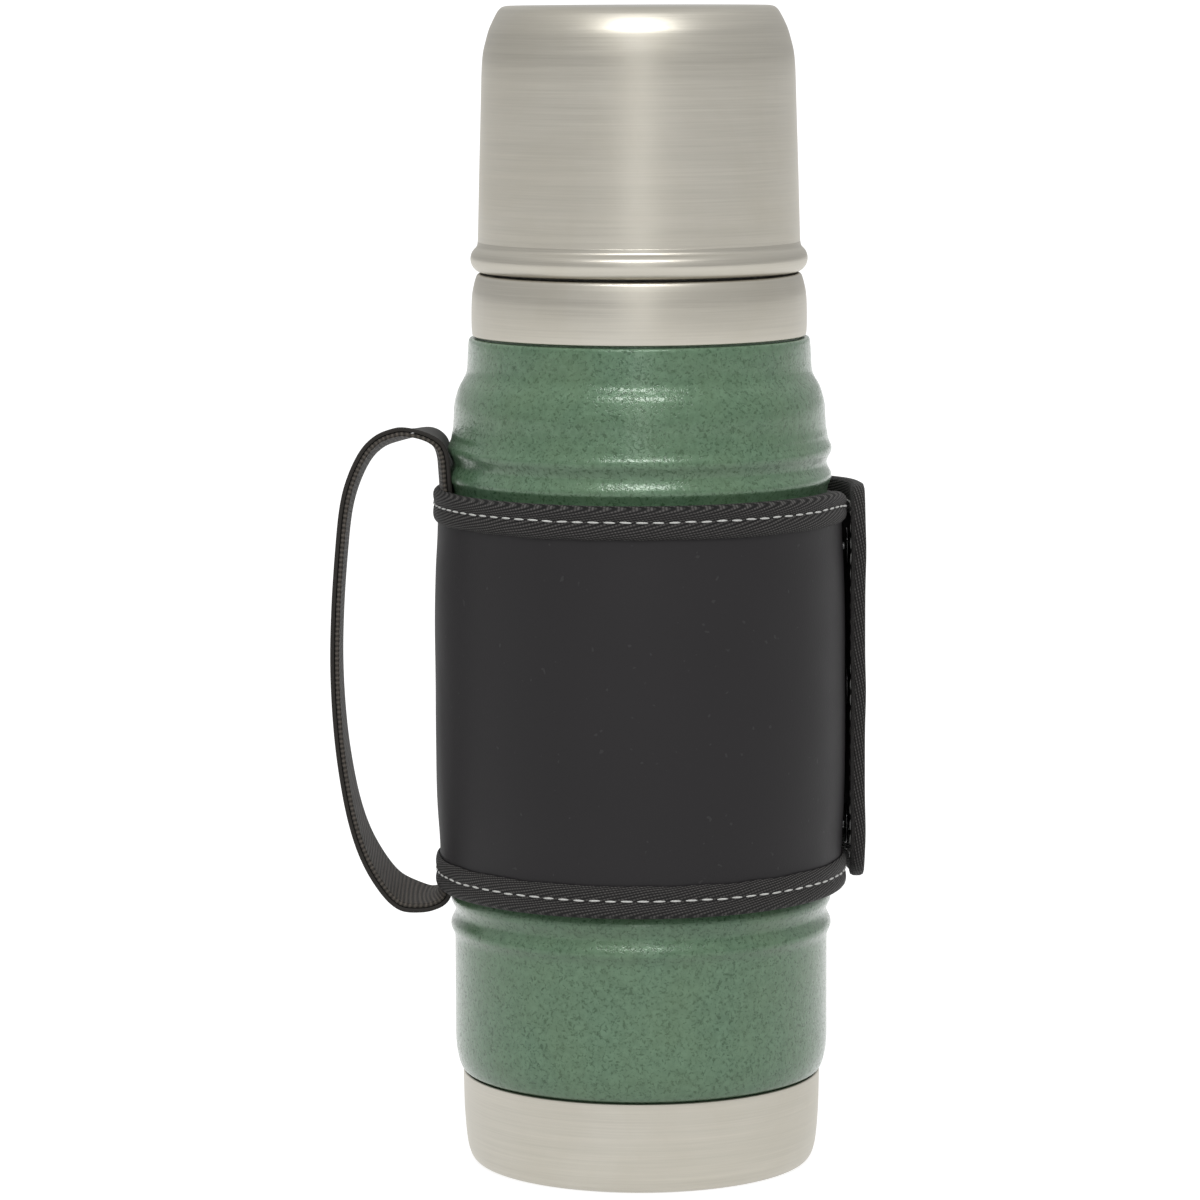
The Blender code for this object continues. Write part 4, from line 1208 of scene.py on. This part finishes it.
def make_floor(look):
    f = Finish("studio_floor", roughness=0.9, Specular_IOR_Level=0.1)
    fleck = f.span(f.noise(f.place(), 3.0, 3.0), 0.3, 0.7)
    f.set("Base Color", f.shades(fleck, (0.42, 0.42, 0.42), 0.985, 1.015))
    f.set("Emission Color", (1.0, 1.0, 1.0))
    f.set("Emission Strength", 0.78)
    bm = bmesh.new()
    bmesh.ops.create_circle(bm, cap_ends=True, segments=96, radius=look.floor_size)
    mesh = bpy.data.meshes.new("studio_floor")
    bm.to_mesh(mesh)
    bm.free()
    mesh.materials.append(f.material)
    floor = bpy.data.objects.new("studio_floor", mesh)
    bpy.context.scene.collection.objects.link(floor)
    floor.visible_diffuse = False


def make_lights(look):
    world = bpy.data.worlds.new("studio_surround")
    world.use_nodes = True
    nodes, links = world.node_tree.nodes, world.node_tree.links
    surround = nodes["Background"]
    surround.inputs["Strength"].default_value = look.surround
    facing = nodes.new("ShaderNodeTexCoord")
    parts = nodes.new("ShaderNodeSeparateXYZ")
    fall = nodes.new("ShaderNodeMapRange")
    links.new(facing.outputs["Generated"], parts.inputs[0])
    links.new(parts.outputs["Z"], fall.inputs["Value"])
    for socket, value in (("From Min", -1.0), ("From Max", 1.0), ("To Min", 0.42), ("To Max", 1.3)):
        fall.inputs[socket].default_value = value
    links.new(fall.outputs["Result"], surround.inputs["Color"])
    bpy.context.scene.world = world
    for name, spot, size, tall, power in (
            ("key_light", (-0.02, -1.25, 1.55), 1.0, 0.22, look.key_power),
            ("front_light", (0.0, -2.4, 0.9), 0.45, 1.6, look.key_power * 0.35)):
        lamp = bpy.data.lights.new(name, "AREA")
        lamp.shape = "RECTANGLE"
        lamp.size = size
        lamp.size_y = tall
        lamp.energy = power
        holder = bpy.data.objects.new(name, lamp)
        holder.location = spot
        aim = Vector((0.0, 0.0, 0.17)) - holder.location
        holder.rotation_euler = aim.to_track_quat("-Z", "Y").to_euler()
        bpy.context.scene.collection.objects.link(holder)


def make_camera(look):
    lens = bpy.data.cameras.new("camera")
    lens.lens = look.focal_length
    lens.sensor_width = 36.0
    lens.clip_end = 1000.0
    camera = bpy.data.objects.new("camera", lens)
    camera.location = (-0.0109, -1.380, 0.325)
    dip, roll = 7.044, -0.22
    tilt = Matrix.Rotation(math.radians(90.0 - dip), 4, "X")
    camera.rotation_euler = (tilt @ Matrix.Rotation(math.radians(roll), 4, "Z")).to_euler()
    bpy.context.scene.collection.objects.link(camera)
    bpy.context.scene.camera = camera


class FlaskPanel(bpy.types.Panel):
    """The flask's settings and steps"""
    bl_idname = "VIEW3D_PT_flask"
    bl_label = "Vacuum Flask"
    bl_space_type = "VIEW_3D"
    bl_region_type = "UI"
    bl_category = "Flask"

    def draw(self, context):
        layout = self.layout
        scene = context.scene
        for holder in (scene.flask_shape, scene.flask_finish, scene.flask_stage):
            for key in holder.bl_rna.properties.keys():
                if key not in {"rna_type", "name"}:
                    layout.prop(holder, key)
        for step in STEPS:
            layout.operator(step.bl_idname)


STEPS = (
    AddStage, AddFinishes, AddCup, AddBody, AddNeck, AddStopper, AddSleeve, AddFlap, AddSnaps,
    AddStrap, FinishInside,
)
CLASSES = (FlaskShape, FlaskFinish, FlaskStage) + STEPS + (FlaskPanel,)


def register():
    for item in CLASSES:
        bpy.utils.register_class(item)
    bpy.types.Scene.flask_shape = PointerProperty(type=FlaskShape)
    bpy.types.Scene.flask_finish = PointerProperty(type=FlaskFinish)
    bpy.types.Scene.flask_stage = PointerProperty(type=FlaskStage)


def unregister():
    del bpy.types.Scene.flask_stage
    del bpy.types.Scene.flask_finish
    del bpy.types.Scene.flask_shape
    for item in reversed(CLASSES):
        bpy.utils.unregister_class(item)


def main():
    register()
    bpy.ops.flask.add_stage()
    bpy.ops.flask.add_finishes()
    bpy.ops.flask.add_cup()
    bpy.ops.flask.add_body()
    bpy.ops.flask.add_neck()
    bpy.ops.flask.add_stopper()
    bpy.ops.flask.add_sleeve()
    bpy.ops.flask.add_flap()
    bpy.ops.flask.add_snaps()
    bpy.ops.flask.add_strap()
    bpy.ops.flask.finish_inside()


if __name__ == "__main__":
    main()
